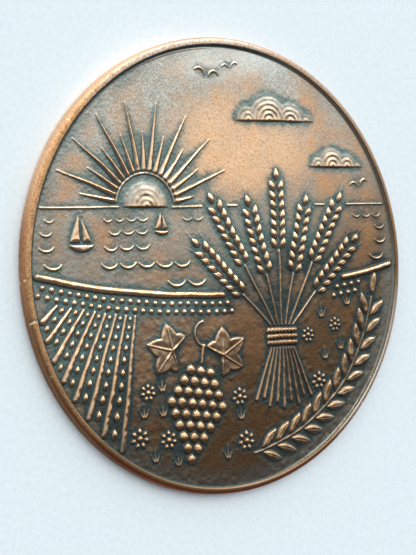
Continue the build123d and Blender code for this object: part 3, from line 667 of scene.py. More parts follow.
def raise_horizon(relief, sea, sky, sheaf):
    """The line where the sea meets the sky, on each side of the sun and the sheaf."""
    level = HORIZON_Y * relief.field_radius
    sun_x = SUN_X * relief.field_radius

    def is_free(x, y):
        by_sun = np.abs(x - sun_x) < sky.sun_radius + RELIEF_GAP
        inside = np.hypot(x, y) < relief.inner_radius - sea.horizon_wire
        return inside & ~by_sun & (clear_of_sheaf(relief, sheaf, x, y) > 0)

    for left, right in free_spans(relief, lambda x: np.full_like(x, level), is_free):
        ends = np.array([left, level]), np.array([right, level])
        relief.ridge(*ends, sea.horizon_wire, sea.horizon_wire)


def shore_height(relief, sea, x):
    """The shore's height in the picture at a distance from the middle."""
    return SHORE_Y * relief.field_radius + sea.shore_radius - np.sqrt(sea.shore_radius**2 - x**2)


def raise_shore(relief, sea, sheaf):
    """The bank between the sea and the fields, on each side of the sheaf."""
    centre = np.array([0, SHORE_Y * relief.field_radius + sea.shore_radius])

    def is_free(x, y):
        inside = np.hypot(x, y) < relief.inner_radius - sea.shore_wire
        return inside & (clear_of_sheaf(relief, sheaf, x, y) > sea.shore_wire)

    for span in free_spans(relief, lambda x: shore_height(relief, sea, x), is_free):
        start, end = (270 + degrees(asin(x / sea.shore_radius)) for x in span)
        relief.bent_ridge(centre, sea.shore_radius, start, end, sea.shore_wire)


def clear_of_laurel(relief, laurel, place, room):
    """True if a place is further from the laurel's leaves than a room."""
    orbit = LAUREL_ORBIT * relief.field_radius
    last = LAUREL_END + degrees(laurel.pitch * 2 / orbit)
    beyond = LAUREL_START < angle_of(place) < last
    return not beyond or hypot(*place) < orbit - laurel.leaf_length * LEAF_ACROSS - room


def raise_pebbles(relief, sea, sheaf, laurel):
    """Rows of pebbles along the foot of the bank, no two quite alike."""
    draw = np.random.default_rng(11)
    room = sea.pebble_radius
    half_count = int(relief.field_radius / sea.pebble_pitch)
    for row in range(PEBBLE_ROWS):
        drop = sea.shore_wire + RELIEF_GAP + room + row * PEBBLE_ROW_STEP * sea.pebble_pitch
        for index in range(-half_count, half_count):
            x = (index + 0.5 * (row % 2)) * sea.pebble_pitch
            place = np.array([x, shore_height(relief, sea, x) - drop])
            size, rise = 1 - PEBBLE_SPREAD * draw.random(2)
            inside = hypot(*place) < relief.inner_radius - room
            by_sheaf = clear_of_sheaf(relief, sheaf, *place) < room
            if inside and not by_sheaf and clear_of_laurel(relief, laurel, place, room):
                relief.dome(place, room * size, sea.pebble_height * rise)


def by_a_boat(relief, sea, place, room):
    """True if a place is nearer to a boat than a room."""
    for boat in BOATS:
        x, y = place - relief.spot(boat.x, boat.y)
        beside = abs(x) < boat.size * sea.boat_length / 2 + room
        if beside and -sea.hull_depth * boat.size - room < y < sea.mast * boat.size + room:
            return True
    return False


def raise_waves(relief, sea, sheaf):
    """Rows of crests that hang between their points, longer and thicker near the shore."""
    for row in WAVES:
        pitch = row.length * relief.field_radius
        wire = row.wire * relief.field_radius
        span = np.array([pitch * (1 - WAVE_BREAK), 0])
        sag = WAVE_SAG * span[0]
        half_count = int(relief.field_radius / pitch)
        for index in range(-half_count, half_count):
            start = np.array([(index + WAVE_BREAK / 2) * pitch, row.y * relief.field_radius])
            middle = start + span / 2
            bank = shore_height(relief, sea, middle[0]) + sea.shore_wire + RELIEF_GAP
            at_sea = middle[1] - sag - wire > bank
            by_sheaf = clear_of_sheaf(relief, sheaf, *middle) < pitch / 2
            by_boat = by_a_boat(relief, sea, middle, pitch / 2 + RELIEF_GAP)
            inside = max(hypot(*start), hypot(*(start + span))) < relief.inner_radius - wire
            if at_sea and inside and not by_sheaf and not by_boat:
                relief.hanging_ridge(start, start + span, sag, wire, WAVE_TAPER)


def circle_through(first, second, third):
    """The middle and the radius of the circle through three places."""
    rows = 2 * np.array([second - first, third - first])
    sums = np.array([second @ second - first @ first, third @ third - first @ first])
    centre = np.linalg.solve(rows, sums)
    return centre, hypot(*(first - centre))


def raise_boats(relief, sea):
    """Boats: a hull under an even deck, and a large and a small sail, one on each side of the
    mast. Each is level inside its outline, and its sides are soft."""
    for boat in BOATS:
        half = boat.size * sea.boat_length / 2
        depth = boat.size * sea.hull_depth
        mast = boat.size * sea.mast
        seam = boat.size * RELIEF_GAP
        part, x, y = relief.window(relief.spot(boat.x, boat.y), mast)
        keel = (half**2 + depth**2) / (2 * depth)
        hull = np.minimum(-y, keel - np.hypot(x, y - (keel - depth)))
        relief.raise_to(part, sea.boat_height * pillow(hull, HULL_SOFT * depth + HULL_SOFT_LEAST))
        for sail in SAILS:
            head = np.array([sail.side * seam / 2, sail.head * mast])
            belly = np.array([sail.side * SAIL_BELLY * sail.foot * half, head[1] / 2])
            clew = np.array([sail.side * sail.foot * half, seam])
            centre, radius = circle_through(head, belly, clew)
            leech = radius - np.hypot(x - centre[0], y - centre[1])
            inside = np.minimum(np.minimum(sail.side * x - seam / 2, y - seam), leech)
            relief.raise_to(part, sea.boat_height * pillow(inside, SAIL_SOFT * half))


def waist_place(relief, sheaf, across, side):
    """A stalk's end over (side 1) or under (side -1) the tie, at a share of the waist's half."""
    cords = TIE_CORDS * 2 * sheaf.cord_radius + (TIE_CORDS - 1) * sheaf.cord_gap
    shift = np.array([across * WAIST_SHARE * sheaf.tie_width, side * (cords + 2 * RELIEF_GAP)])
    return relief.spot(*TIE) + shift / 2


def raise_ear(relief, sheaf, ear):
    """An ear of wheat: its stalk from the tie, grains in pairs up to a last one, and bristles."""
    angle = 90 - ear.lean
    along, across = heading(angle), heading(angle - 90)
    foot = relief.spot(*TIE) + along * (ear.reach * relief.field_radius)
    root = waist_place(relief, sheaf, ear.lean / WIDEST_LEAN, 1)
    relief.ridge(root, foot - along * RELIEF_GAP, sheaf.stalk_radius, sheaf.stalk_radius)
    lean = degrees(sheaf.grain_angle)
    half = sheaf.grain_length / 2
    out = across * (sheaf.stalk_radius + half * sin(sheaf.grain_angle) + sheaf.grain_width / 6)
    seats = [(foot + along * (GRAIN_PAIRS * sheaf.grain_pitch + half), angle)]
    for pair in range(GRAIN_PAIRS):
        level = foot + along * ((pair + 0.5) * sheaf.grain_pitch)
        seats += [(level - out, angle + lean), (level + out, angle - lean)]
    for place, tip in seats:
        end = place + heading(tip) * half
        bristle = end - heading(tip) * BRISTLE_ROOT * half
        bristle_tip = end + heading((tip + angle) / 2) * sheaf.awn_length
        relief.ridge(bristle, bristle_tip, sheaf.awn_radius, sheaf.awn_radius / 3)
        relief.grain(place, tip, sheaf.grain_length, sheaf.grain_width)


def raise_tie(relief, sheaf):
    """The twisted cords round the sheaf's waist: round ridges, cut by slanting grooves."""
    half = np.array([sheaf.tie_width / 2, 0])
    for index in range(TIE_CORDS):
        level = (index - (TIE_CORDS - 1) / 2) * (2 * sheaf.cord_radius + sheaf.cord_gap)
        middle = relief.spot(*TIE) + np.array([0, level])
        relief.ridge(middle - half, middle + half, sheaf.cord_radius, sheaf.cord_radius)
    cords = TIE_CORDS * (2 * sheaf.cord_radius + sheaf.cord_gap)
    part, x, y = relief.window(relief.spot(*TIE), sheaf.tie_width / 2 + sheaf.cord_radius)
    groove = np.abs(np.sin(pi * (x + TWIST_SLANT * y) / (TWIST_PITCH * sheaf.cord_radius)))
    left = TWIST_FLOOR + (1 - TWIST_FLOOR) * groove**TWIST_ROUND
    relief.height[part] *= np.where(np.abs(y) < cords / 2, left, 1)


def raise_sheaf(relief, sheaf):
    """The sheaf of wheat: the feet of its stalks, its ears and its tie."""
    for index in range(STALK_FEET):
        across = 2 * index / (STALK_FEET - 1) - 1
        along = heading(-90 + across * degrees(sheaf.foot_spread) / 2)
        reach = sheaf.foot_length * (1 - FOOT_STAGGER * (across**2 + index % 2))
        root = waist_place(relief, sheaf, across, -1)
        relief.ridge(root, root + along * reach, sheaf.stalk_radius, sheaf.foot_radius)
    for ear in EARS:
        raise_ear(relief, sheaf, ear)
    raise_tie(relief, sheaf)


def vine_edge(angle):
    """How far a vine leaf's edge is from its stalk in each direction, against its radius. Between
    a lobe's tip and a notch it runs straight and bows out a little."""
    turns, reaches = [-180.0], [VINE_HEEL]
    for lobe, following in zip(VINE_LOBES, VINE_LOBES[1:] + [None]):
        turns.append(lobe.turn)
        reaches.append(lobe.length)
        if following:
            turns.append((lobe.turn + following.turn) / 2)
            reaches.append(VINE_NOTCH)
    turns, reaches = np.radians(turns + [180.0]), np.array(reaches + [VINE_HEEL])
    side = np.clip(np.searchsorted(turns, angle) - 1, 0, len(turns) - 2)
    before, after = turns[side], turns[side + 1]
    sums = np.sin(after - angle) / reaches[side] + np.sin(angle - before) / reaches[side + 1]
    t = (angle - before) / (after - before)
    return np.sin(after - before) / sums * (1 + VINE_BOW * 2 * t * (1 - t))


def raise_vine_leaf(relief, vine, leaf):
    """A vine leaf: a lobed blade that swells between its veins, and a vein along each lobe."""
    stalk = relief.spot(leaf.x, leaf.y)
    part, x, y = relief.window(stalk, vine.leaf_radius)
    angle = np.arctan2(y, x) - radians(leaf.turn)
    angle = (angle + pi) % (2 * pi) - pi
    off = np.hypot(x, y)
    inside = vine_edge(angle) * vine.leaf_radius - off
    nearest = np.min([np.abs(angle - radians(lobe.turn)) for lobe in VINE_LOBES], axis=0)
    from_vein = np.sin(nearest) * off / (VINE_PUFF_REACH * vine.leaf_radius)
    puff = VINE_DIP + VINE_PUFF * np.clip(from_vein, 0, 1)
    relief.raise_to(part, vine.leaf_height * pillow(inside, VINE_SOFT) * puff)
    base = VEIN_BASE * vine.leaf_height
    for lobe in VINE_LOBES:
        tip = heading(leaf.turn + lobe.turn) * lobe.length * vine.leaf_radius
        ends = stalk, stalk + tip * VEIN_REACH
        relief.ridge(*ends, vine.vein_radius, vine.vein_radius / 2, base=base)


def raise_grapes(relief, vine):
    """The bunch of grapes: rows of balls, its stalk and the tendril."""
    top = relief.spot(*BUNCH)
    down, across = heading(-90 + BUNCH_LEAN), heading(BUNCH_LEAN)
    stalk_foot = top - down * (vine.grape_radius + RELIEF_GAP)
    stalk_head = stalk_foot - down * vine.stalk_length
    relief.ridge(stalk_foot, stalk_head, BUNCH_STALK_FOOT, BUNCH_STALK_HEAD)
    curl = stalk_head - down * vine.tendril_radius
    relief.bent_ridge(curl, vine.tendril_radius, TENDRIL_START, TENDRIL_END, vine.tendril_wire)
    for row, count in enumerate(GRAPE_ROWS):
        for index in range(count):
            shift = (index - (count - 1) / 2) * vine.grape_pitch
            place = top + down * (row * GRAPE_ROW_STEP * vine.grape_pitch) + across * shift
            relief.dome(place, vine.grape_radius, vine.grape_height)


def run_to_field(relief, sea, source, angle, reach):
    """How far a line from the sun runs before it comes to the fields, at most its whole reach."""
    below_bank = sea.shore_wire + 2 * RELIEF_GAP + 2 * sea.pebble_radius
    below_bank += (PEBBLE_ROWS - 1) * PEBBLE_ROW_STEP * sea.pebble_pitch
    place, run = source, 0.0
    while place[1] > shore_height(relief, sea, place[0]) - below_bank and run < reach:
        run += SCAN_STEP
        place = source + heading(angle) * run
    return run


def raise_furrows(relief, land, sea):
    """Furrows of the ploughed field, which run out from under the sun to the rim. Their crowns
    are broken into clods by a swell of the height."""
    source = relief.spot(SUN_X, HORIZON_Y)
    count = int((FURROW_END - FURROW_START) / degrees(land.furrow_step)) + 1
    clods = 1 + CLOD_HEIGHT * grain(relief.height.shape, 21, CLOD_SIZE / relief.step)
    before = relief.height.copy()
    for index in range(count):
        angle = FURROW_START + index * degrees(land.furrow_step)
        last = reach_to_rim(relief, source, angle) - land.furrow_end
        first = run_to_field(relief, sea, source, angle, last)
        if last - first > SHORTEST_LINE:
            ends = source + heading(angle) * first, source + heading(angle) * last
            relief.ridge(*ends, land.furrow_top, land.furrow_end)
    broken = relief.height * np.clip(clods, *CLOD_RANGE)
    relief.height = np.where(relief.height > before, broken, before)


def raise_crop(relief, land, sea):
    """The crop: plants in rows between the furrows, larger where the furrows leave more room."""
    source = relief.spot(SUN_X, HORIZON_Y)
    for row in range(int((FURROW_END - FURROW_START) / degrees(land.furrow_step))):
        angle = FURROW_START + (row + 0.5) * degrees(land.furrow_step)
        last = reach_to_rim(relief, source, angle)
        first = run = run_to_field(relief, sea, source, angle, last)
        while run < last:
            furrow = np.interp(run, [first, last], [land.furrow_top, land.furrow_end])
            room = 2 * run * sin(land.furrow_step / 2) - 2 * furrow
            plant = land.crop_length * room
            if room > land.crop_least and run + plant < last:
                place = source + heading(angle) * (run + plant / 2)
                relief.grain(place, angle, plant, land.crop_width * room)
            run += land.crop_pitch * max(room, land.crop_least)


def raise_daisies(relief, land):
    """Daisies: petals round a domed eye."""
    for daisy in DAISIES:
        middle = relief.spot(daisy.x, daisy.y)
        eye = daisy.size * land.eye_radius
        petal = daisy.size * land.daisy_radius - eye
        relief.dome(middle, eye, daisy.size * land.eye_height)
        for index in range(DAISY_PETALS):
            angle = 90 + index * 360 / DAISY_PETALS
            place = middle + heading(angle) * (eye + petal / 2)
            relief.grain(place, angle, petal, daisy.size * land.petal_width)


def raise_tufts(relief, land):
    """Tufts of grass: three blades each, spread from one root."""
    for place in TUFTS:
        for side in (-1, 0, 1):
            along = heading(90 + side * degrees(land.blade_spread))
            root = relief.spot(*place) + along * BLADE_ROOT * land.blade_radius
            blade = along * land.blade_length * (SIDE_BLADE if side else 1)
            relief.ridge(root, root + blade, land.blade_radius, land.blade_radius / 3)


def raise_leaf(relief, laurel, foot, angle):
    """A laurel leaf: a lens with round sides, and a groove for the midrib along its crown."""
    middle = foot + heading(angle) * laurel.leaf_length / 2
    part, along, half, off = relief.lens(middle, angle, laurel.leaf_length, laurel.leaf_width)
    crown = rounded(off) ** CROWN_ROUND
    crown = crown * np.clip(half / (CROWN_SHARE * laurel.leaf_width), 0, 1) ** 0.5
    groove = np.exp(-((off * half / RIB_WIDTH) ** 2)) * np.clip(2 * (1 - along), 0, 1)
    height = laurel.leaf_height * crown * (1 - RIB_DEPTH * groove)
    relief.raise_to(part, np.where(np.abs(along) < 1, height, 0))


def raise_laurel(relief, laurel):
    """The laurel branch inside the rim: its stem, pairs of leaves and berries."""
    orbit = LAUREL_ORBIT * relief.field_radius
    middle = np.zeros(2)
    relief.bent_ridge(middle, orbit, LAUREL_START, LAUREL_END, laurel.stem_wire)
    step = degrees(laurel.pitch / orbit)
    beside = laurel.stem_wire + LEAF_GAP
    lean = degrees(laurel.leaf_angle)
    for index in range(int((LAUREL_END - LAUREL_START) / step)):
        angle = LAUREL_START + (index + 0.5) * step
        raise_leaf(relief, laurel, heading(angle) * (orbit - beside), angle + 90 + lean)
        raise_leaf(relief, laurel, heading(angle) * (orbit + beside), angle + 90 - lean)
        if index % BERRY_EVERY == 1:
            berry = heading(angle - step / 4) * (orbit - beside - 2 * laurel.berry_radius)
            relief.dome(berry, laurel.berry_radius, laurel.berry_radius)
    end = heading(LAUREL_END) * orbit + heading(LAUREL_END + 90) * beside
    raise_leaf(relief, laurel, end, LAUREL_END + 90)


def strike_picture(scene):
    """The whole picture: each motif is raised on the sheet in turn."""
    relief = Relief(scene.medal_body, scene.medal_relief.sample)
    sky, sea, sheaf = scene.medal_sky, scene.medal_sea, scene.medal_sheaf
    raise_sun(relief, sky, sheaf, sea.horizon_wire)
    raise_clouds(relief, sky)
    raise_gulls(relief, sky)
    raise_horizon(relief, sea, sky, sheaf)
    raise_shore(relief, sea, sheaf)
    raise_pebbles(relief, sea, sheaf, scene.medal_laurel)
    raise_waves(relief, sea, sheaf)
    raise_boats(relief, sea)
    raise_furrows(relief, scene.medal_land, sea)
    raise_crop(relief, scene.medal_land, sea)
    raise_daisies(relief, scene.medal_land)
    raise_tufts(relief, scene.medal_land)
    raise_sheaf(relief, sheaf)
    for leaf in VINE_LEAVES:
        raise_vine_leaf(relief, scene.medal_vine, leaf)
    raise_grapes(relief, scene.medal_vine)
    raise_laurel(relief, scene.medal_laurel)
    cut_by_hand(relief, scene.medal_relief)
    return relief


class Side(NamedTuple):
    """A side of the medal that ages in its own way: the shares of X and of Y that add up to how
    far a place lies towards it, and the sums at which it begins and is full."""
    x: float
    y: float
    begins: float
    full: float

    def towards(self, x, y):
        """How far a place lies towards the side, for arrays and for sockets alike."""
        return self.x * x + self.y * y

    def over(self, x, y):
        """0 before the side begins and 1 where it is full, for arrays."""
        return smooth_step(self.towards(x, y), self.begins, self.full)


# Sizes of the noises: how a hand strays and dents, and what the ground and the tarnish show
WAVER_SIZE, DENT_SIZE = 1.8 * MM, 0.28 * MM
DENT_RANGE = (0.6, 1.3)
MOTTLE_SIZE, DRIFT_SIZE = 0.3 * MM, 1.6 * MM
DRIFT_SPREAD, DRIFT_TOP = 0.35, 1.4
SWELL_ROWS, SWELL_COLUMNS = 2.2 * MM, 3.2 * MM
TOOL_SIZE, PIT_SIZE = 0.11 * MM, 0.26 * MM
PIT_DEPTH = 1.3
PLAIN_TOOLING = 0.2

# Heights at which a form begins to count, and by which it counts in full
STANDING = (0.01 * MM, 0.05 * MM)
GROUND_FADE = (0.03 * MM, 0.16 * MM)
HIGH_RISE = (0.1 * MM, 0.3 * MM)

# How wide the sheet is blurred to tell what stands proud, and how far below or above that counts, for
# the painted shade in creases, the valleys and the polish
FORM_SPREAD = 0.12 * MM
SHADE_CREASE_SPREAD, SHADE_CREASE_DROP = 0.14 * MM, (0.01 * MM, 0.045 * MM)
VALLEY_SPREAD, VALLEY_DROP = 0.2 * MM, (0.008 * MM, 0.04 * MM)
PROUD_SPREAD, PROUD_RISE = 0.35 * MM, (-0.005 * MM, 0.1 * MM)
GATHERED = (0.08, 0.5)

# The painted shade at the foot of the rim, cleared at the right where light falls on it, and the ledge
# in it
FOOT_START, FOOT_WIDTH, FOOT_BROADER = 0.1 * MM, 0.3 * MM, 0.25 * MM
LEDGE_WIDTH = 0.07 * MM
BROAD_FOOT = Side(x=-0.643, y=0.766, begins=0.8, full=0.93)
LEDGE_SIDE = Side(x=-0.259, y=0.966, begins=0.95, full=0.985)
LIT_FOOT, LIT_FOOT_CLEARING = (0.1, 0.5), 0.9

# How much the mottle sways the patina and the bloom, how far the ledge clears the patina and the
# painted shade at the foot of the rim, and how bright it and the high forms are
MOTTLED_PATINA, MOTTLED_BLOOM = 0.12, 0.15
LEDGE_CLEARS_PATINA, LEDGE_CLEARS_CREASE = 0.75, 0.8
LEDGE_POLISH, HIGH_POLISH = 0.5, 0.3

# Where tarnish hangs over the sea and along the rim and how strong it is there, how strong the painted
# shade by the rim is, and where the ground is pitted
SEA_TARNISH, RIM_TARNISH, PAINTED_RIM_SHADE = 0.6, 0.7, 0.5
SHORE_FADE, SKY_FADE = 0.12, 0.05
SEA_FADE = (-0.5, -0.1)
RIM_BLOOM = (0.3 * MM, 2.6 * MM)
SHADY_SIDE = Side(x=-0.866, y=0.5, begins=0.2, full=0.8)
PITTED_GROUND = (-0.3, 0.4)


def reach_of_patina(relief, struck, sizes):
    """How strongly patina gathers at each place: the forms that stand are spread by a narrow
    blur, so that a thin line counts as a broad one does, and then by a wide one."""
    standing = smooth_step(struck, *STANDING)
    near = np.clip(4 * blur(standing, FORM_SPREAD / relief.step), 0, 1)
    return blur(near, sizes.halo / relief.step), blur(near, sizes.bloom / relief.step)


def cut_by_hand(relief, sizes):
    """Makes the forms as uneven as a hand cuts them: each place takes the height of one that a
    slow noise shifts it to, and the forms swell and sink a little along their length."""
    shape, step = relief.height.shape, relief.step
    shift_x, shift_y = (sizes.waver * grain(shape, seed, WAVER_SIZE / step) for seed in (81, 82))
    x, y = np.meshgrid(relief.line, relief.line)
    dented = np.clip(1 + sizes.dents * grain(shape, 83, DENT_SIZE / step), *DENT_RANGE)
    relief.height = sampled(relief, relief.height, x + shift_x, y + shift_y) * dented


def rim_lead(body, angle):
    """How much further in the rim reaches than on its narrow side: its inner line is a circle that
    lies a little off the middle, so this is a distance times 1 plus a cosine."""
    return body.off_middle * (1 + np.cos(angle - body.wide_side))


def foot_and_ledge(from_rim, x, y, sizes):
    """How dark the painted shade at the foot of the rim is, broad at the upper left and nearly gone at
    the right, where light falls on it, and where the low ledge inside it is: a bell across the ledge,
    at the top alone."""
    foot = 1 - smooth_step(from_rim, FOOT_START, FOOT_WIDTH + FOOT_BROADER * BROAD_FOOT.over(x, y))
    ledge = LEDGE_SIDE.over(x, y) * np.exp(-(((from_rim - sizes.ledge_in) / LEDGE_WIDTH) ** 2))
    return foot * (1 - LIT_FOOT_CLEARING * smooth_step(x, *LIT_FOOT)), ledge


def tarnish_and_shade_drifts(relief, from_rim, x, y):
    """The pale tarnish that hangs over the sea and along the rim, and the painted shade along the
    shady part of the rim, both in drifts."""
    above_shore = smooth_step(y, SHORE_Y - SHORE_FADE, SHORE_Y)
    below_sky = smooth_step(HORIZON_Y - y, -SKY_FADE, SKY_FADE)
    at_sea = above_shore * below_sky * smooth_step(-x, *SEA_FADE)
    by_rim = 1 - smooth_step(from_rim, *RIM_BLOOM)
    drift = 1 + DRIFT_SPREAD * grain(relief.height.shape, 91, DRIFT_SIZE / relief.step)
    drift = np.clip(drift, 0, DRIFT_TOP)
    pale = np.maximum(SEA_TARNISH * at_sea, RIM_TARNISH * by_rim) * drift
    return pale, PAINTED_RIM_SHADE * by_rim * SHADY_SIDE.over(x, y) * drift


def proud(relief, struck, spread):
    """How far the sheet stands above its own blurred copy."""
    return struck - blur(struck, spread / relief.step)


def roughened(relief, struck, sizes, patina, pitting):
    """The struck sheet with the low swells of its ground, the tool marks, which are strongest
    beside the relief, and the pits."""
    shape, step = struck.shape, relief.step
    rolling = grain(shape, 51, SWELL_ROWS / step, SWELL_COLUMNS / step)
    tooled = sizes.tooling * grain(shape, 61, TOOL_SIZE / step)
    pitted = PIT_DEPTH * sizes.tooling * grain(shape, 62, PIT_SIZE / step)
    struck = struck + sizes.swell * (rolling + 2) / 4
    return struck + tooled * (PLAIN_TOOLING + patina) + pitted * pitting


def soften_and_age(relief, body, sizes):
    """Softens the struck edges, roughens the ground, and works out how the copper has aged and where
    shade is painted on it.

    patina: dark in hollows, strongest at the foot of the relief, with painted shade at the foot of the
    rim and along its shady side
    crease: painted shade, the darkest, in the narrow foot of each form and of the rim
    bloom: paler, and further out round the relief, over the sea and along the rim
    polish: bright where a form stands proud of what is round it
    """
    x, y = relief.line[None, :], relief.line[:, None]
    from_rim = relief.field_radius - rim_lead(body, np.arctan2(y, x)) - np.hypot(x, y)
    x, y = x / relief.field_radius, y / relief.field_radius
    struck = np.clip(blur(relief.height, sizes.softness / relief.step), 0, None)
    around, wide = reach_of_patina(relief, struck, sizes)
    mottle = grain(struck.shape, 31, MOTTLE_SIZE / relief.step)
    ground = 1 - smooth_step(struck, *GROUND_FADE)
    foot, ledge = foot_and_ledge(from_rim, x, y, sizes)
    pale, shade = tarnish_and_shade_drifts(relief, from_rim, x, y)
    patina = smooth_step(around * (1 + MOTTLED_PATINA * mottle), *GATHERED) * ground
    # The patina also carries painted shade: at the foot of the rim and along its shady side
    patina = np.maximum(np.maximum(patina, foot * (1 - LEDGE_CLEARS_PATINA * ledge)), shade)
    # Painted shade: a dark line in the narrow foot of each form, where the sheet lies below its
    # blurred copy, and at the foot of the rim
    crease = smooth_step(-proud(relief, struck, SHADE_CREASE_SPREAD), *SHADE_CREASE_DROP) * ground
    crease = np.maximum(crease, foot * (1 - LEDGE_CLEARS_CREASE * ledge))
    valley = smooth_step(-proud(relief, struck, VALLEY_SPREAD), *VALLEY_DROP)
    bloom = smooth_step(wide * (1 + MOTTLED_BLOOM * mottle), *GATHERED)
    bloom = np.clip(np.maximum(np.maximum(bloom, pale), valley), 0, 1)
    polish = smooth_step(proud(relief, struck, PROUD_SPREAD), *PROUD_RISE)
    polish = np.maximum(polish, HIGH_POLISH * smooth_step(struck, *HIGH_RISE))
    polish = np.maximum(polish, LEDGE_POLISH * ledge)
    pitting = ground * smooth_step(-y, *PITTED_GROUND) * bloom
    fillet = np.clip(body.foot_fillet - from_rim, 0, None) ** 2 / (3 * body.foot_fillet)
    height = roughened(relief, struck, sizes, patina, pitting) + fillet + sizes.ledge_height * ledge
    relief.height = np.minimum(height, body.field_depth - RELIEF_UNDER_CREST)
    none = 0 * patina
    return {
        "patina": patina,
        "crease": crease,
        "bloom": bloom,
        "polish": polish,
        "rim": none,
        "scraped": none,
    }


# How far before the end of a row of samples a place is kept, so that one more lies beyond it
SHORT_OF_END = 1.001


def sampled(relief, values, x, y):
    """The values between the samples, weighed from the four that lie round each place."""
    last = len(relief.line) - SHORT_OF_END
    column, row = (np.clip((each - relief.line[0]) / relief.step, 0, last) for each in (x, y))
    c, r = column.astype(int), row.astype(int)
    u, v = column - c, row - r
    low = values[r, c] * (1 - u) + values[r, c + 1] * u
    high = values[r + 1, c] * (1 - u) + values[r + 1, c + 1] * u
    return low * (1 - v) + high * v


def disc_from_square(u, v):
    """A square's places bent into a disc of radius 1: the greater coordinate is the distance from
    the middle, and the lesser one turns it through an eighth of a turn each way."""
    steep = np.abs(v) > np.abs(u)
    greater = np.where(steep, v, u)
    lesser = np.where(steep, u, v)
    angle = pi / 4 * lesser / np.where(greater == 0, 1, greater)
    straight, sideways = greater * np.cos(angle), greater * np.sin(angle)
    return np.where(steep, sideways, straight), np.where(steep, straight, sideways)


def grid_faces(rows, columns):
    """The four corners of each cell of a grid of points, counted row by row."""
    index = np.arange(rows * columns).reshape(rows, columns)
    corners = [index[:-1, :-1], index[:-1, 1:], index[1:, 1:], index[1:, :-1]]
    return np.stack([each.ravel() for each in corners], axis=1)


def new_piece(name, points, faces, attributes, normals=None):
    """A smooth mesh object from points, lists of faces with as many corners each, values at
    points, and normals at points where the surface's own are known."""
    mesh = bpy.data.meshes.new(name)
    corners = np.concatenate([each.ravel() for each in faces]).astype(np.int32)
    sizes = np.concatenate([np.full(len(each), each.shape[1]) for each in faces])
    mesh.vertices.add(len(points))
    mesh.vertices.foreach_set("co", points.astype(np.float32).ravel())
    mesh.loops.add(len(corners))
    mesh.loops.foreach_set("vertex_index", corners)
    mesh.polygons.add(len(sizes))
    mesh.polygons.foreach_set("loop_start", (np.cumsum(sizes) - sizes).astype(np.int32))
    mesh.polygons.foreach_set("use_smooth", np.ones(len(sizes), dtype=bool))
    mesh.update(calc_edges=True)
    if mesh.validate():
        raise ValueError(f"{name} has bad faces")
    for key, values in attributes.items():
        layer = mesh.attributes.new(key, "FLOAT", "POINT")
        layer.data.foreach_set("value", values.astype(np.float32).ravel())
    if normals is not None:
        layer = mesh.attributes.new("custom_normal", "FLOAT_VECTOR", "POINT")
        layer.data.foreach_set("vector", normals.astype(np.float32).ravel())
    piece = bpy.data.objects.new(name, mesh)
    bpy.context.scene.collection.objects.link(piece)
    return piece


def dress(piece, material):
    """Gives a piece its finish and puts it in the place of the medal's plain solid."""
    piece.data.materials.append(material)
    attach(piece, "root")
    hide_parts(NODE)


# How deep the obverse's slab goes under the field, how far it runs under the rim, and at which
# share of its depth the body has its hidden top
SLAB = 0.2 * MM
TILE_OVERLAP = 0.2 * MM
HIDDEN_SHARE = 0.75


def sheet_normals(relief, x, y):
    """The normals of the sheet: its slope along X and along Y, both turned round, and 1 upwards,
    all made one long."""
    slopes = np.gradient(relief.height, relief.step)[::-1]
    normals = np.stack([*(-sampled(relief, each, x, y) for each in slopes), np.ones_like(x)], axis=1)
    return normals / np.linalg.norm(normals, axis=1)[:, None]


def make_tile(name, relief, aged, body, u, v, material):
    """One tile of the obverse: a closed slab whose top is the struck sheet over a part of the
    disc, with level walls round it and a flat foot that is sunk in the body."""
    square_v, square_u = np.meshgrid(v, u, indexing="ij")
    x, y = disc_from_square(square_u, square_v)
    reach = relief.field_radius + TILE_OVERLAP
    x, y = (x * reach).ravel(), (y * reach).ravel()
    field_z = body.thickness - body.field_depth
    top = np.stack([x, y, field_z + sampled(relief, relief.height, x, y)], axis=1)
    index = np.arange(len(x)).reshape(len(v), len(u))
    border = np.concatenate([index[0, :-1], index[:-1, -1], index[-1, :0:-1], index[:0:-1, 0]])
    below = top[border].copy()
    below[:, 2] = field_z - SLAB
    foot = len(top) + np.arange(len(border))
    after, foot_after = np.roll(border, -1), np.roll(foot, -1)
    walls = np.stack([border, foot, foot_after, after], axis=1)
    hub = np.full(len(border), len(top) + len(border))
    floor = np.stack([foot, hub, foot_after], axis=1)
    points = np.concatenate([top, below, [below.mean(axis=0)]])
    down = np.tile([0, 0, -1], (len(border) + 1, 1))
    normals = np.concatenate([sheet_normals(relief, x, y), down])
    values = {}
    for key, sheet in aged.items():
        on_top = sampled(relief, sheet, x, y)
        values[key] = np.concatenate([on_top, on_top[border], [0]])
    faces = [grid_faces(len(v), len(u)), walls, floor]
    dress(new_piece(name, points, faces, values, normals), material)


class Nick(NamedTuple):
    """A nick in the rim: its turn round the medal and its distance outwards from the crest's inner
    line, its half width, half length and depth, and its slant."""
    turn: float
    out: float
    width: float
    reach: float
    depth: float
    slant: float


NICKS = [
    Nick(turn=181.7, out=0.8 * MM, width=0.13 * MM, reach=0.25 * MM, depth=0.04 * MM, slant=0.3),
    Nick(turn=182.2, out=1.9 * MM, width=0.2 * MM, reach=0.2 * MM, depth=0.12 * MM, slant=-0.2),
    Nick(turn=191.7, out=0.6 * MM, width=0.13 * MM, reach=0.7 * MM, depth=0.06 * MM, slant=0.35),
    Nick(turn=205.2, out=0.5 * MM, width=0.1 * MM, reach=0.2 * MM, depth=0.03 * MM, slant=-0.4),
    Nick(turn=141.0, out=0.5 * MM, width=0.1 * MM, reach=0.25 * MM, depth=0.03 * MM, slant=0.5),
    Nick(turn=318.0, out=0.6 * MM, width=0.12 * MM, reach=0.3 * MM, depth=0.05 * MM, slant=0.2),
]


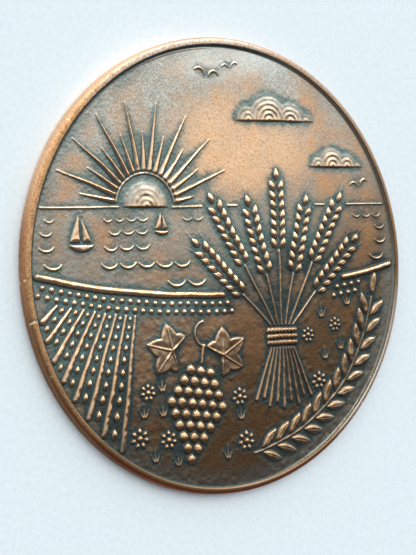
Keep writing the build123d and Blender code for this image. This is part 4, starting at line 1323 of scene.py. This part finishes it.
def quarter(start, corner, end, count=7):
    """The points of an arc that rounds off a corner: two sines weigh its ends and the corner."""
    t = np.linspace(0, pi / 2, count)[:, None]
    start, corner, end = np.array(start), np.array(corner), np.array(end)
    middle = start + end - corner
    return middle + (start - middle) * np.cos(t) + (end - middle) * np.sin(t)


def straight(start, end, count):
    """Evenly spaced points of a line, without its ends."""
    t = np.linspace(0, 1, count + 2)[1:-1, None]
    return np.array(start) + (np.array(end) - np.array(start)) * t


# Points within the straight stretches of the half section
SLOPE_POINTS, CREST_POINTS, EDGE_POINTS, FOOT_POINTS, REVERSE_POINTS = 5, 1, 4, 2, 5


def body_profile(body):
    """The body's half section, from the middle of its hidden top over the rim to the middle of
    the reverse. The inner slope runs on down under the obverse."""
    radius = body.diameter / 2
    crest = radius - body.crest_width
    field = crest - body.slope_run
    top, field_z = body.thickness, body.thickness - body.field_depth
    slope_top = (crest, top - body.inner_round)
    fall = (slope_top[1] - field_z) / body.slope_run
    hidden_z = field_z - SLAB * HIDDEN_SHARE
    slope_end = (field - (field_z - hidden_z) / fall, hidden_z)
    inner = radius - body.reverse_rim
    step = body.reverse_depth
    crest_in = quarter(slope_top, (crest, top), (crest + body.inner_round, top))
    shoulder = (radius - body.outer_round, top), (radius, top), (radius, top - body.outer_round)
    crest_out = quarter(*shoulder)
    low = quarter((radius, body.reverse_round), (radius, 0), (radius - body.reverse_round, 0))
    return np.concatenate([
        [(0, hidden_z)],
        [slope_end],
        straight(slope_end, slope_top, SLOPE_POINTS),
        crest_in,
        straight(crest_in[-1], crest_out[0], CREST_POINTS),
        crest_out,
        straight(crest_out[-1], low[0], EDGE_POINTS),
        low,
        straight(low[-1], (inner, 0), FOOT_POINTS),
        [(inner, 0)],
        [(inner - step, step)],
        straight((inner - step, step), (0, step), REVERSE_POINTS),
        [(0, step)],
    ])


# How the body ages, and where shade and highlights are painted on its inner slope: the width and the
# heights over the field between which each change comes in, and the sines or cosines of the turn round
# the medal between which its slope changes sides
INNER_FADE = 0.1 * MM
FOOT_RISE = (0.02 * MM, 0.3 * MM)
GLINT_RISE = (0.12 * MM, 0.24 * MM)
GREY_RISE = (0.33 * MM, 0.43 * MM)
SHADED_PART = (-0.25, 0.25)
FACING_PART = (0.1, 0.5)
LOWER_PART = (-0.05, 0.3)
NICK_BARE = (0.35, 0.8)


def age_of_body(body, ring, angle, nicked):
    """How the copper has aged over the body, with light and shade painted on the inner slope: rubbed
    on the crest, red brown round the edge, and dark at the foot of the inner slope, painted darker at
    the top where the slope lies in shade, with a painted highlight low on it at the bottom, where it
    faces the light; on the side that faces left a painted shadow runs along its top, and it is grey
    low down, with painted light."""
    radius = body.diameter / 2
    field_z = body.thickness - body.field_depth
    rise = ring[:, 1] - field_z
    on_top = ring[:, 1] > field_z / 2
    inner_line = radius - body.crest_width + 0.5 * body.inner_round
    inside = smooth_step(inner_line - ring[:, 0], 0, INNER_FADE) * on_top
    foot = 1 - smooth_step(rise, *FOOT_RISE)
    side = smooth_step(ring[:, 0], radius - body.outer_round, radius)
    right, up = np.cos(angle)[:, None], np.sin(angle)[:, None]
    # Painted shade: the inner slope is darkest at the top, where it faces away from the light, and
    # nearly clear at the bottom
    shaded = 0.1 + 0.9 * smooth_step(up, *SHADED_PART)
    facing = smooth_step(right, *FACING_PART)
    # Painted light: where the slope faces left, its lower part is made pale grey
    greyed = facing * inside * (1 - smooth_step(rise, *GREY_RISE))
    below = smooth_step(-up, *LOWER_PART) * (1 - 0.5 * facing)
    # Painted highlight: a pale line low on the slope at the bottom, where it faces the light, laid on
    # as bare metal
    glint = 0.32 * below * inside * smooth_step(rise, *GLINT_RISE)
    scraped = np.maximum(glint, 0.3 * greyed * shaded)
    return {
        # Patina on the slope, painted darker where the slope lies in shade
        "patina": shaded * inside * (0.75 + 0.25 * foot) * (1 - greyed),
        # Painted shade: at the foot of the slope, and along the top of the slope where it faces left
        "crease": inside * np.maximum(foot * (1 - facing), facing * shaded) * (1 - greyed),
        "bloom": inside * (0.2 + 0.7 * greyed),
        "polish": 0.5 * on_top * (1 - 0.5 * inside) * (1 - 0.6 * greyed),
        "rim": (0.6 + 0.4 * side) * (1 - greyed),
        # Bare metal in the nicks, with the painted highlight and light on the slope
        "scraped": np.maximum(scraped, smooth_step(nicked, *NICK_BARE)),
    }


# The body's half sections, how many times each wave of wear goes round, and the heights, against
# the thickness, between which the wear comes in
BODY_STEPS = 1800
WEAR_WAVES = (2, 3, 5, 8, 13, 21, 34)
WORN_PART = (0.5, 0.85)


def crest_wear(body, angle):
    """How deep handling has worn the rim round the medal: a sum of cosines of the angle, shifted
    and scaled to run from 0 to the waviness."""
    draw = np.random.default_rng(71)
    wear = np.zeros(BODY_STEPS)
    for count in WEAR_WAVES:
        wear += np.cos(count * angle + draw.uniform(0, 2 * pi)) / sqrt(count)
    return (wear - wear.min()) / (wear.max() - wear.min()) * body.waviness


def nick_cuts(body, angle, run):
    """How deep the nicks cut, and how bare they lay the metal: each is a bell across its slanting
    line times a bell along it."""
    cut = np.zeros((len(angle), len(run)))
    bare = np.zeros_like(cut)
    for nick in NICKS:
        away = (angle - radians(nick.turn))[:, None] * body.diameter / 2
        along = run[None, :] - nick.out
        bite = np.exp(-(((away - nick.slant * along) / nick.width) ** 2) - (along / nick.reach) ** 2)
        cut += nick.depth * bite
        bare = np.maximum(bare, bite)
    return cut, bare


def turned_faces(steps, width):
    """The faces between half sections that stand round the middle: squares, and a fan to each of
    the two poles, which are counted last."""
    index = np.arange(steps * width).reshape(steps, width)
    after = np.roll(index, -1, axis=0)
    quads = np.stack([index[:, :-1], index[:, 1:], after[:, 1:], after[:, :-1]], axis=2).reshape(-1, 4)
    top, low = np.full(steps, index.size), np.full(steps, index.size + 1)
    top_fan = np.stack([top, index[:, 0], after[:, 0]], axis=1)
    low_fan = np.stack([low, after[:, -1], index[:, -1]], axis=1)
    return [quads, top_fan, low_fan]


def make_body(body, material):
    """The turned body: its half section carried round the middle, closed at both poles. The crest
    is worn a little out of true and carries a few nicks, all cut inwards."""
    profile = body_profile(body)
    ring = profile[1:-1]
    tangent = (np.roll(profile, -1, axis=0) - np.roll(profile, 1, axis=0))[1:-1]
    tangent /= np.hypot(tangent[:, 0], tangent[:, 1])[:, None]
    run = np.concatenate([[0], np.cumsum(np.hypot(*np.diff(ring, axis=0).T))])
    run -= run[np.argmax(ring[:, 1])] - body.inner_round
    on_rim = smooth_step(ring[:, 1] / body.thickness, *WORN_PART)
    angle = np.arange(BODY_STEPS) * 2 * pi / BODY_STEPS
    nick_cut, nicked = nick_cuts(body, angle, run)
    cut = crest_wear(body, angle)[:, None] * on_rim + nick_cut
    outer_flat = body.diameter / 2 - body.outer_round
    inner_flat = body.diameter / 2 - body.crest_width + body.inner_round
    inwards = smooth_step(-ring[:, 0], -outer_flat, -inner_flat) * (ring[:, 1] > body.thickness / 2)
    r = ring[:, 0] + cut * tangent[:, 1] - rim_lead(body, angle)[:, None] * inwards
    z = ring[:, 1] - cut * tangent[:, 0]
    points = np.stack([r * np.cos(angle)[:, None], r * np.sin(angle)[:, None], z], axis=2)
    poles = [(0, 0, profile[0, 1]), (0, 0, profile[-1, 1])]
    points = np.concatenate([points.reshape(-1, 3), poles])
    aged = age_of_body(body, ring, angle, nicked).items()
    values = {key: np.append(np.broadcast_to(sheet, nicked.shape), [0, 0]) for key, sheet in aged}
    faces = turned_faces(BODY_STEPS, len(ring))
    dress(new_piece("body", points, faces, values), material)


class Nodes:
    """The nodes of a material or a world."""

    def __init__(self, owner):
        owner.use_nodes = True
        self.tree = owner.node_tree
        self.tree.nodes.clear()

    def add(self, kind, settings=None, sockets=None):
        """Makes a node: its type, then its settings, then the values or links of its sockets."""
        node = self.tree.nodes.new(kind)
        for key, value in (settings or {}).items():
            setattr(node, key, value)
        for key, value in (sockets or {}).items():
            if isinstance(value, Number):
                value = value.socket
            if isinstance(value, bpy.types.NodeSocket):
                self.tree.links.new(value, node.inputs[key])
            else:
                node.inputs[key].default_value = value
        return node

    def number(self, socket):
        """A socket as a number that expressions can use."""
        return Number(self, socket)

    def noise(self, place, size, detail=2.0, roughness=0.5):
        """Noise of a size in metres, from 0 to 1."""
        sockets = {"Vector": place, "Scale": 1 / size, "Detail": detail, "Roughness": roughness}
        return self.number(self.add("ShaderNodeTexNoise", {}, sockets).outputs["Fac"])

    def attribute(self, name):
        """A value that the mesh carries at its points."""
        return self.number(self.add("ShaderNodeAttribute", {"attribute_name": name}).outputs["Fac"])

    def mix(self, factor, first, second):
        """A colour between two, or from one to the other by a factor."""
        node = self.add("ShaderNodeMix", {"data_type": "RGBA"}, {0: factor, 6: first, 7: second})
        return node.outputs[2]


class Number:
    """A number in a material. Expressions on it add Math nodes."""

    def __init__(self, nodes, socket):
        self.nodes = nodes
        self.socket = socket

    def math(self, operation, *values):
        """A Math node of an operation on values in order."""
        node = self.nodes.add("ShaderNodeMath", {"operation": operation}, dict(enumerate(values)))
        return Number(self.nodes, node.outputs[0])

    def __add__(self, other):
        return self.math("ADD", self, other)

    def __radd__(self, other):
        return self.math("ADD", other, self)

    def __sub__(self, other):
        return self.math("SUBTRACT", self, other)

    def __rsub__(self, other):
        return self.math("SUBTRACT", other, self)

    def __mul__(self, other):
        return self.math("MULTIPLY", self, other)

    def __rmul__(self, other):
        return self.math("MULTIPLY", other, self)

    def step(self, low, high):
        """0 under a low value and 1 over a high one, smooth between them."""
        sockets = {"Value": self, "From Min": low, "From Max": high}
        settings = {"interpolation_type": "SMOOTHSTEP"}
        return Number(self.nodes, self.nodes.add("ShaderNodeMapRange", settings, sockets).outputs[0])


def opaque(colour_value):
    """A colour with full alpha, as a socket takes it."""
    return (*colour_value, 1.0)


# Scratches: their width and length, their two directions in radians, and the noise they keep
SCRATCH_WIDTH, SCRATCH_LENGTH = 0.08 * MM, 3 * MM
SCRATCH_TURNS = (-0.7, 0.9)
SCRATCH_KEPT = (0.62, 0.75)


def hairlines(nodes, place, angle):
    """Fine scratches that run one way: noise drawn out along an angle in radians."""
    stretch = (SCRATCH_WIDTH, SCRATCH_LENGTH, SCRATCH_LENGTH)
    sockets = {"Vector": place, "Rotation": (0, 0, angle), "Scale": stretch}
    drawn_out = nodes.add("ShaderNodeMapping", {"vector_type": "TEXTURE"}, sockets).outputs["Vector"]
    return nodes.noise(drawn_out, 1.0, detail=1.0).step(*SCRATCH_KEPT)


# Sides of the medal whose copper has a look of its own
UPPER = Side(x=-0.15, y=0.8, begins=-0.3, full=0.65)
LOWER = Side(x=0.45, y=-0.95, begins=-0.25, full=0.62)
TOP_CREST = Side(x=-0.1, y=1.0, begins=0.7, full=0.98)
RIGHT_CREST = Side(x=0.707, y=0.707, begins=0.75, full=0.93)
FAR_EDGE = Side(x=-0.707, y=0.707, begins=0.78, full=0.96)
LEFT_EDGE = Side(x=-0.82, y=-0.57, begins=0.84, full=0.95)
GLEAMING = Side(x=0.866, y=-0.5, begins=0.86, full=0.97)
HAZY = Side(x=0.5, y=-1.0, begins=-0.2, full=0.5)
PALE_HAZE = Side(x=0.82, y=-0.57, begins=0.5, full=0.9)
SHEEN_SPOT = (0.08, 0.52)
COPPER_BUMP = 0.012 * MM


class Copper:
    """What the copper's colours are worked out from: the values that the mesh carries, noises,
    and masks for the parts of the medal, each of them from 0 to 1."""

    def __init__(self, nodes, finish):
        self.nodes, self.finish = nodes, finish
        place = nodes.add("ShaderNodeTexCoord").outputs["Object"]
        for name in ("patina", "bloom", "polish", "rim", "scraped", "crease"):
            setattr(self, name, nodes.attribute(name))
        self.speck = nodes.noise(place, 2 * finish.grain, detail=3.0, roughness=0.65)
        self.fine = nodes.noise(place, finish.grain, detail=3.0, roughness=0.6)
        self.blotch = nodes.noise(place, finish.blotch, detail=4.0, roughness=0.6)
        self.broad = nodes.noise(place, finish.blotch * 4, detail=2.0)
        one_way, other_way = (hairlines(nodes, place, angle) for angle in SCRATCH_TURNS)
        self.scratch = one_way + other_way
        axes = nodes.add("ShaderNodeSeparateXYZ", {}, {0: place})
        radius = (NODE_HIGH[0] - NODE_LOW[0]) / 2
        self.right = nodes.number(axes.outputs["X"]) * (1 / radius)
        self.up = nodes.number(axes.outputs["Y"]) * (1 / radius)
        self.upper = self.towards(UPPER, 0.6 * (self.broad - 0.5))
        self.lower = self.towards(LOWER, 0.5 * (self.broad - 0.5))
        # Painted sheen: a warm bright patch in the middle of the sky
        beside, above = self.right - SHEEN_SPOT[0], self.up - SHEEN_SPOT[1]
        self.warm = (1 - 10 * above * above - 3.5 * beside * beside).step(0, 0.9)
        self.crest = self.rim.step(0, 0.5)
        self.edge = self.rim.step(0.6, 0.95)
        self.rubbed = self.polish * (0.35 + 0.9 * self.fine)
        # The patina with the painted shade that it carries, lighter above and darker below
        self.dark = self.patina * (
            0.8 + 0.25 * self.blotch.step(0.3, 0.6) - 0.2 * self.upper + 0.1 * self.lower
        )

    def towards(self, side, drift=None):
        """0 before a side begins and 1 where it is full. A drift moves the line between them."""
        way = side.towards(self.right, self.up)
        return (way if drift is None else way + drift).step(side.begins, side.full)

    def laid_over(self, base, layers):
        """A colour with layers laid over it in turn: how strongly each covers, and its colour."""
        for cover, layer in layers:
            base = self.nodes.mix(cover, base, opaque(layer))
        return base

    def field(self):
        """The field: blotches, a painted sheen in the middle of the sky, bloom round the forms, a grey
        veil with pale specks above, and bright copper where a form is rubbed."""
        finish = self.finish
        stain = (0.5 * self.blotch + 0.5 * self.broad).step(0.4, 0.66)
        veiled = self.upper * (0.3 + 0.6 * self.broad.step(0.3, 0.6))
        veiled = veiled * (1 - 0.8 * self.warm) * (1 - 0.7 * self.polish)
        crown = (self.up - 0.5 * self.right * self.right).step(0.76, 0.92)
        return self.laid_over(opaque(finish.satin), [
            (stain * 0.8, finish.brown),
            (self.fine.step(0.56, 0.4) * 0.3, finish.brown),
            # Painted sheen in the middle of the sky
            (self.warm * (0.3 + 0.6 * self.blotch), finish.glow),
            (self.bloom * (0.4 + 0.5 * self.blotch) * (1 - 0.5 * self.lower), finish.bloom),
            (veiled, finish.veil),
            (self.upper * self.fine.step(0.47, 0.38) * 0.75, finish.brown),
            (veiled * (0.6 * self.fine.step(0.53, 0.6) + 0.5 * self.scratch), finish.frost),
            (crown * (0.2 + 0.6 * self.fine), finish.frost),
            (self.rubbed, finish.copper),
        ])

    def rim_and_haze(self, base):
        """The matt crest, the darker colour and the haze of the lower part, the red brown edge, and
        painted light round the rim: a glow on the outer edge at the upper left, a red reflection low
        on the edge and a gleam on the crest.
        """
        finish, crest, edge, lower = self.finish, self.crest, self.edge, self.lower
        top = crest * self.towards(TOP_CREST)
        near_rim = (self.up * self.up + self.right * self.right).step(0.72, 0.89)
        haze = near_rim * (1 - crest) * self.towards(HAZY)
        # Painted light: the outer edge at the upper left is made bright
        far_edge_painted_light = self.rim.step(0.85, 1) * self.towards(FAR_EDGE)
        # Painted highlight: a gleam along the crest at the lower right, in the colour of bare metal
        gleam = crest * (1 - edge) * self.towards(GLEAMING)
        dots = crest * (0.5 * self.speck + 0.5 * self.fine).step(0.5, 0.6)
        return self.laid_over(base, [
            (crest * (0.8 + 0.3 * self.fine), finish.crest),
            (top * (0.5 + 0.6 * self.speck), finish.blush),
            (crest * self.towards(RIGHT_CREST) * 0.75, finish.dull),
            (crest * self.speck.step(0.45, 0.56) * 0.6, finish.brown),
            # The lower part is made darker
            (lower * (0.85 - 0.3 * self.rubbed) * (1 - crest), finish.tarnish),
            (haze * (0.3 + 0.5 * self.blotch), finish.haze),
            (haze * self.towards(PALE_HAZE) * (0.1 + 0.3 * self.blotch), finish.veil),
            (lower * crest, finish.olive),
            (edge * (0.45 + 0.45 * lower), finish.edge),
            # Painted reflection: dark red on the edge at the bottom
            (edge * lower.step(0.5, 1) * 0.7, finish.edge_red_reflection),
            (far_edge_painted_light * (0.65 + 0.4 * self.fine), finish.glow),
            (edge * self.towards(LEFT_EDGE) * 0.45, finish.tarnish),
            (gleam * (0.15 + 0.45 * self.speck), finish.bare),
            (dots * (0.35 - 0.2 * top), finish.tarnish),
        ])

    def hollows(self, base):
        """Patina in the hollows, bluer in the upper part, painted shade in the creases, and fresh
        metal in the nicks, which also paints the highlights and the light on the rim's inner slope.
        """
        finish = self.finish
        bluer = self.lower.step(0.6, 0.1) * (1 - self.crest)
        hollow = self.nodes.mix(bluer, opaque(finish.patina), opaque(finish.verdigris))
        base = self.nodes.mix(self.dark, base, hollow)
        return self.laid_over(base, [
            # Painted shade in the creases, in the patina's colour
            (self.crease * 0.9, finish.patina),
            (self.scraped * 0.85, finish.bare),
        ])


def copper_material(finish):
    """Struck copper: satin brown fields, rubbed bright on top and blue green dark in the hollows, with
    shade, sheen and highlights painted in places.
    """
    material = bpy.data.materials.new("struck_copper")
    nodes = Nodes(material)
    copper = Copper(nodes, finish)
    fine, dark, rim = copper.fine, copper.dark, copper.rim
    bumps = {"Strength": 0.3, "Distance": COPPER_BUMP, "Height": fine + 0.6 * copper.scratch}
    shader = nodes.add("ShaderNodeBsdfPrincipled", {}, {
        "Base Color": copper.hollows(copper.rim_and_haze(copper.field())),
        "Metallic": 0.96 - 0.4 * dark - 0.25 * copper.crease - 0.5 * copper.scraped,
        "Roughness": 0.28 + 0.1 * (fine - 0.5) - 0.03 * copper.rubbed + 0.3 * rim + 0.25 * dark,
        "Normal": nodes.add("ShaderNodeBump", {}, bumps).outputs["Normal"],
        "Coat Roughness": 0.45,
        "Coat Weight": 0.12 * (1 - copper.crest) * (1 - dark),
    })
    nodes.add("ShaderNodeOutputMaterial", {}, {"Surface": shader.outputs[0]})
    return material


# The paper: size and relief of its fibre, how dark it is between the fibres, and its points
FIBRE_SIZE, FIBRE_RELIEF = 0.6 * MM, 0.08 * MM
FIBRE_SHADE = 0.92
PAPER_POINTS = 9


def paper_material(stage):
    """White paper with a faint fibre."""
    material = bpy.data.materials.new("paper")
    nodes = Nodes(material)
    place = nodes.add("ShaderNodeTexCoord").outputs["Object"]
    fibre = nodes.noise(place, FIBRE_SIZE, detail=4.0, roughness=0.65)
    shade = opaque([FIBRE_SHADE * each for each in stage.paper])
    tint = nodes.mix(fibre.step(0.35, 0.8), opaque(stage.paper), shade)
    bumps = {"Strength": 0.4, "Distance": FIBRE_RELIEF, "Height": fibre}
    shader = nodes.add("ShaderNodeBsdfPrincipled", {}, {
        "Base Color": tint,
        "Roughness": 0.85,
        "Specular IOR Level": 0.2,
        "Normal": nodes.add("ShaderNodeBump", {}, bumps).outputs["Normal"],
    })
    nodes.add("ShaderNodeOutputMaterial", {}, {"Surface": shader.outputs[0]})
    return material


def make_paper(stage):
    """The sheet of paper that the medal lies on."""
    half = stage.paper_size / 2
    line = np.linspace(-half, half, PAPER_POINTS)
    y, x = np.meshgrid(line, line, indexing="ij")
    points = np.stack([x.ravel(), y.ravel(), np.full(x.size, NODE_LOW[2])], axis=1)
    sheet = new_piece("paper", points, [grid_faces(PAPER_POINTS, PAPER_POINTS)], {})
    sheet.data.materials.append(paper_material(stage))


class Lamp(NamedTuple):
    """A wide soft lamp: its name, the direction it shines from, its sides, its tint, which of the
    stage's powers it has, and whether it lights the surface and shows in its gloss."""
    name: str
    direction: tuple
    width: float
    height: float
    tint: tuple
    power: str
    lights: bool
    shines: bool


WARM, WARMER = (1.0, 0.985, 0.96), (1.0, 0.98, 0.95)
LAMPS = [
    Lamp("key", (0.55, 0.75, 0.7), 1.2, 0.8, WARM, "key_power", lights=False, shines=True),
    Lamp("left", (-0.15, 0.8, 0.6), 0.45, 0.35, WARMER, "glint_power", lights=False, shines=True),
    Lamp("right", (0.45, 0.8, 0.35), 0.45, 0.35, WARMER, "glint_power", lights=False, shines=True),
    Lamp("fill", (0.1, 0.45, 1.0), 1.2, 1.2, WARM, "fill_power", lights=True, shines=False),
]
LAMP_DISTANCE = 1.5


def make_light(lamp, power):
    """A lamp of the list, turned to face the medal."""
    light = bpy.data.lights.new(lamp.name, "AREA")
    light.energy = power
    light.shape = "RECTANGLE"
    light.size, light.size_y = lamp.width, lamp.height
    light.color = lamp.tint
    holder = bpy.data.objects.new(lamp.name, light)
    toward = Vector(lamp.direction).normalized()
    facing = toward.to_track_quat("Z", "Y").to_matrix().to_4x4()
    holder.matrix_world = Matrix.Translation(toward * LAMP_DISTANCE) @ facing
    holder.visible_diffuse = lamp.lights
    holder.visible_glossy = lamp.shines
    bpy.context.scene.collection.objects.link(holder)


WINDOW_EDGE = (-0.1, 0.07)


def make_sky(stage):
    """Light from all round, as in a room with wide windows: bright and cool from over the top of
    the picture, and dim and warm from below it, with a soft border overhead."""
    world = bpy.data.worlds.new("studio")
    nodes = Nodes(world)
    direction = nodes.add("ShaderNodeTexCoord").outputs["Generated"]
    axes = nodes.add("ShaderNodeSeparateXYZ", {}, {0: direction})
    window = nodes.number(axes.outputs["Y"]).step(*WINDOW_EDGE)
    tint = nodes.mix(window, opaque(stage.room_tint), opaque(stage.sky_tint))
    power = stage.room_power + window * (stage.sky_power - stage.room_power)
    glow = nodes.add("ShaderNodeBackground", {}, {"Color": tint, "Strength": power})
    nodes.add("ShaderNodeOutputWorld", {}, {"Surface": glow.outputs[0]})
    bpy.context.scene.world = world


SENSOR_WIDTH = 36.0
CLIP_START, CLIP_END = 0.01, 10.0


def make_camera(stage):
    """The camera: it looks at its aim from its height over the medal's left side, with the top
    of the picture up, and is then rolled."""
    camera = bpy.data.cameras.new("camera")
    camera.lens = stage.lens
    camera.sensor_width = SENSOR_WIDTH
    camera.clip_start, camera.clip_end = CLIP_START, CLIP_END
    height = stage.camera_height
    place = Vector((-cos(height), 0, sin(height))) * stage.camera_distance
    forward = (Vector((stage.aim_x, stage.aim_y, 0)) - place).normalized()
    right = forward.cross(Vector((0, 1, 0))).normalized()
    up = right.cross(forward)
    axes = Matrix((right, up, -forward)).transposed().to_4x4()
    viewer = bpy.data.objects.new("camera", camera)
    viewer.matrix_world = Matrix.Translation(place) @ axes @ Matrix.Rotation(stage.camera_roll, 4, "Z")
    bpy.context.scene.collection.objects.link(viewer)
    bpy.context.scene.camera = viewer


class MEDAL_OT_body(bpy.types.Operator):
    """Make the turned body with its rim, edge and reverse"""
    bl_idname = "medal.body"
    bl_label = "Body"

    def execute(self, context):
        scene = context.scene
        make_body(scene.medal_body, shared_copper(scene.medal_finish))
        return {"FINISHED"}


def shared_copper(finish):
    """The one copper of the medal, made when it is first asked for."""
    return bpy.data.materials.get("struck_copper") or copper_material(finish)


ROWS = ("lower", "middle", "upper")
SIDES = ("left", "right")


class MEDAL_OT_obverse(bpy.types.Operator):
    """Make the obverse with its picture in low relief, in six tiles"""
    bl_idname = "medal.obverse"
    bl_label = "Obverse"

    def execute(self, context):
        scene = context.scene
        material = shared_copper(scene.medal_finish)
        relief = strike_picture(scene)
        aged = soften_and_age(relief, scene.medal_body, scene.medal_relief)
        line = np.linspace(-1, 1, scene.medal_relief.cells + 1)
        cuts_u = np.linspace(0, scene.medal_relief.cells, len(SIDES) + 1).astype(int)
        cuts_v = np.linspace(0, scene.medal_relief.cells, len(ROWS) + 1).astype(int)
        for row, low, high in zip(ROWS, cuts_v, cuts_v[1:]):
            for side, left, right in zip(SIDES, cuts_u, cuts_u[1:]):
                u, v = line[left:right + 1], line[low:high + 1]
                make_tile(f"obverse_{row}_{side}", relief, aged, scene.medal_body, u, v, material)
        return {"FINISHED"}


class MEDAL_OT_stage(bpy.types.Operator):
    """Make the paper, the light and the camera"""
    bl_idname = "medal.stage"
    bl_label = "Stage"

    def execute(self, context):
        stage = context.scene.medal_stage
        make_paper(stage)
        for lamp in LAMPS:
            make_light(lamp, getattr(stage, lamp.power))
        make_sky(stage)
        make_camera(stage)
        context.scene.view_settings.view_transform = "Standard"
        return {"FINISHED"}


class MEDAL_PT_panel(bpy.types.Panel):
    """The medal's makers and their sizes"""
    bl_idname = "MEDAL_PT_panel"
    bl_label = "Medal"
    bl_space_type = "VIEW_3D"
    bl_region_type = "UI"
    bl_category = "Medal"

    def draw(self, context):
        for maker in MAKERS:
            self.layout.operator(maker.bl_idname)
        for name, group in GROUPS.items():
            box = self.layout.box()
            box.label(text=group.__doc__)
            for key in group.__annotations__:
                box.prop(getattr(context.scene, name), key)


GROUPS = {
    "medal_body": BodySizes,
    "medal_relief": ReliefSizes,
    "medal_sky": SkySizes,
    "medal_sea": SeaSizes,
    "medal_sheaf": SheafSizes,
    "medal_vine": VineSizes,
    "medal_land": LandSizes,
    "medal_laurel": LaurelSizes,
    "medal_finish": Finish,
    "medal_stage": Stage,
}
MAKERS = (MEDAL_OT_body, MEDAL_OT_obverse, MEDAL_OT_stage)


def register():
    for name, group in GROUPS.items():
        bpy.utils.register_class(group)
        setattr(bpy.types.Scene, name, PointerProperty(type=group))
    for each in (*MAKERS, MEDAL_PT_panel):
        bpy.utils.register_class(each)


def unregister():
    for each in (MEDAL_PT_panel, *MAKERS):
        bpy.utils.unregister_class(each)
    for name, group in GROUPS.items():
        delattr(bpy.types.Scene, name)
        bpy.utils.unregister_class(group)


def main():
    """Makes the medal and its stage."""
    register()
    bpy.ops.medal.stage()
    bpy.ops.medal.body()
    bpy.ops.medal.obverse()


if __name__ == "__main__":
    main()
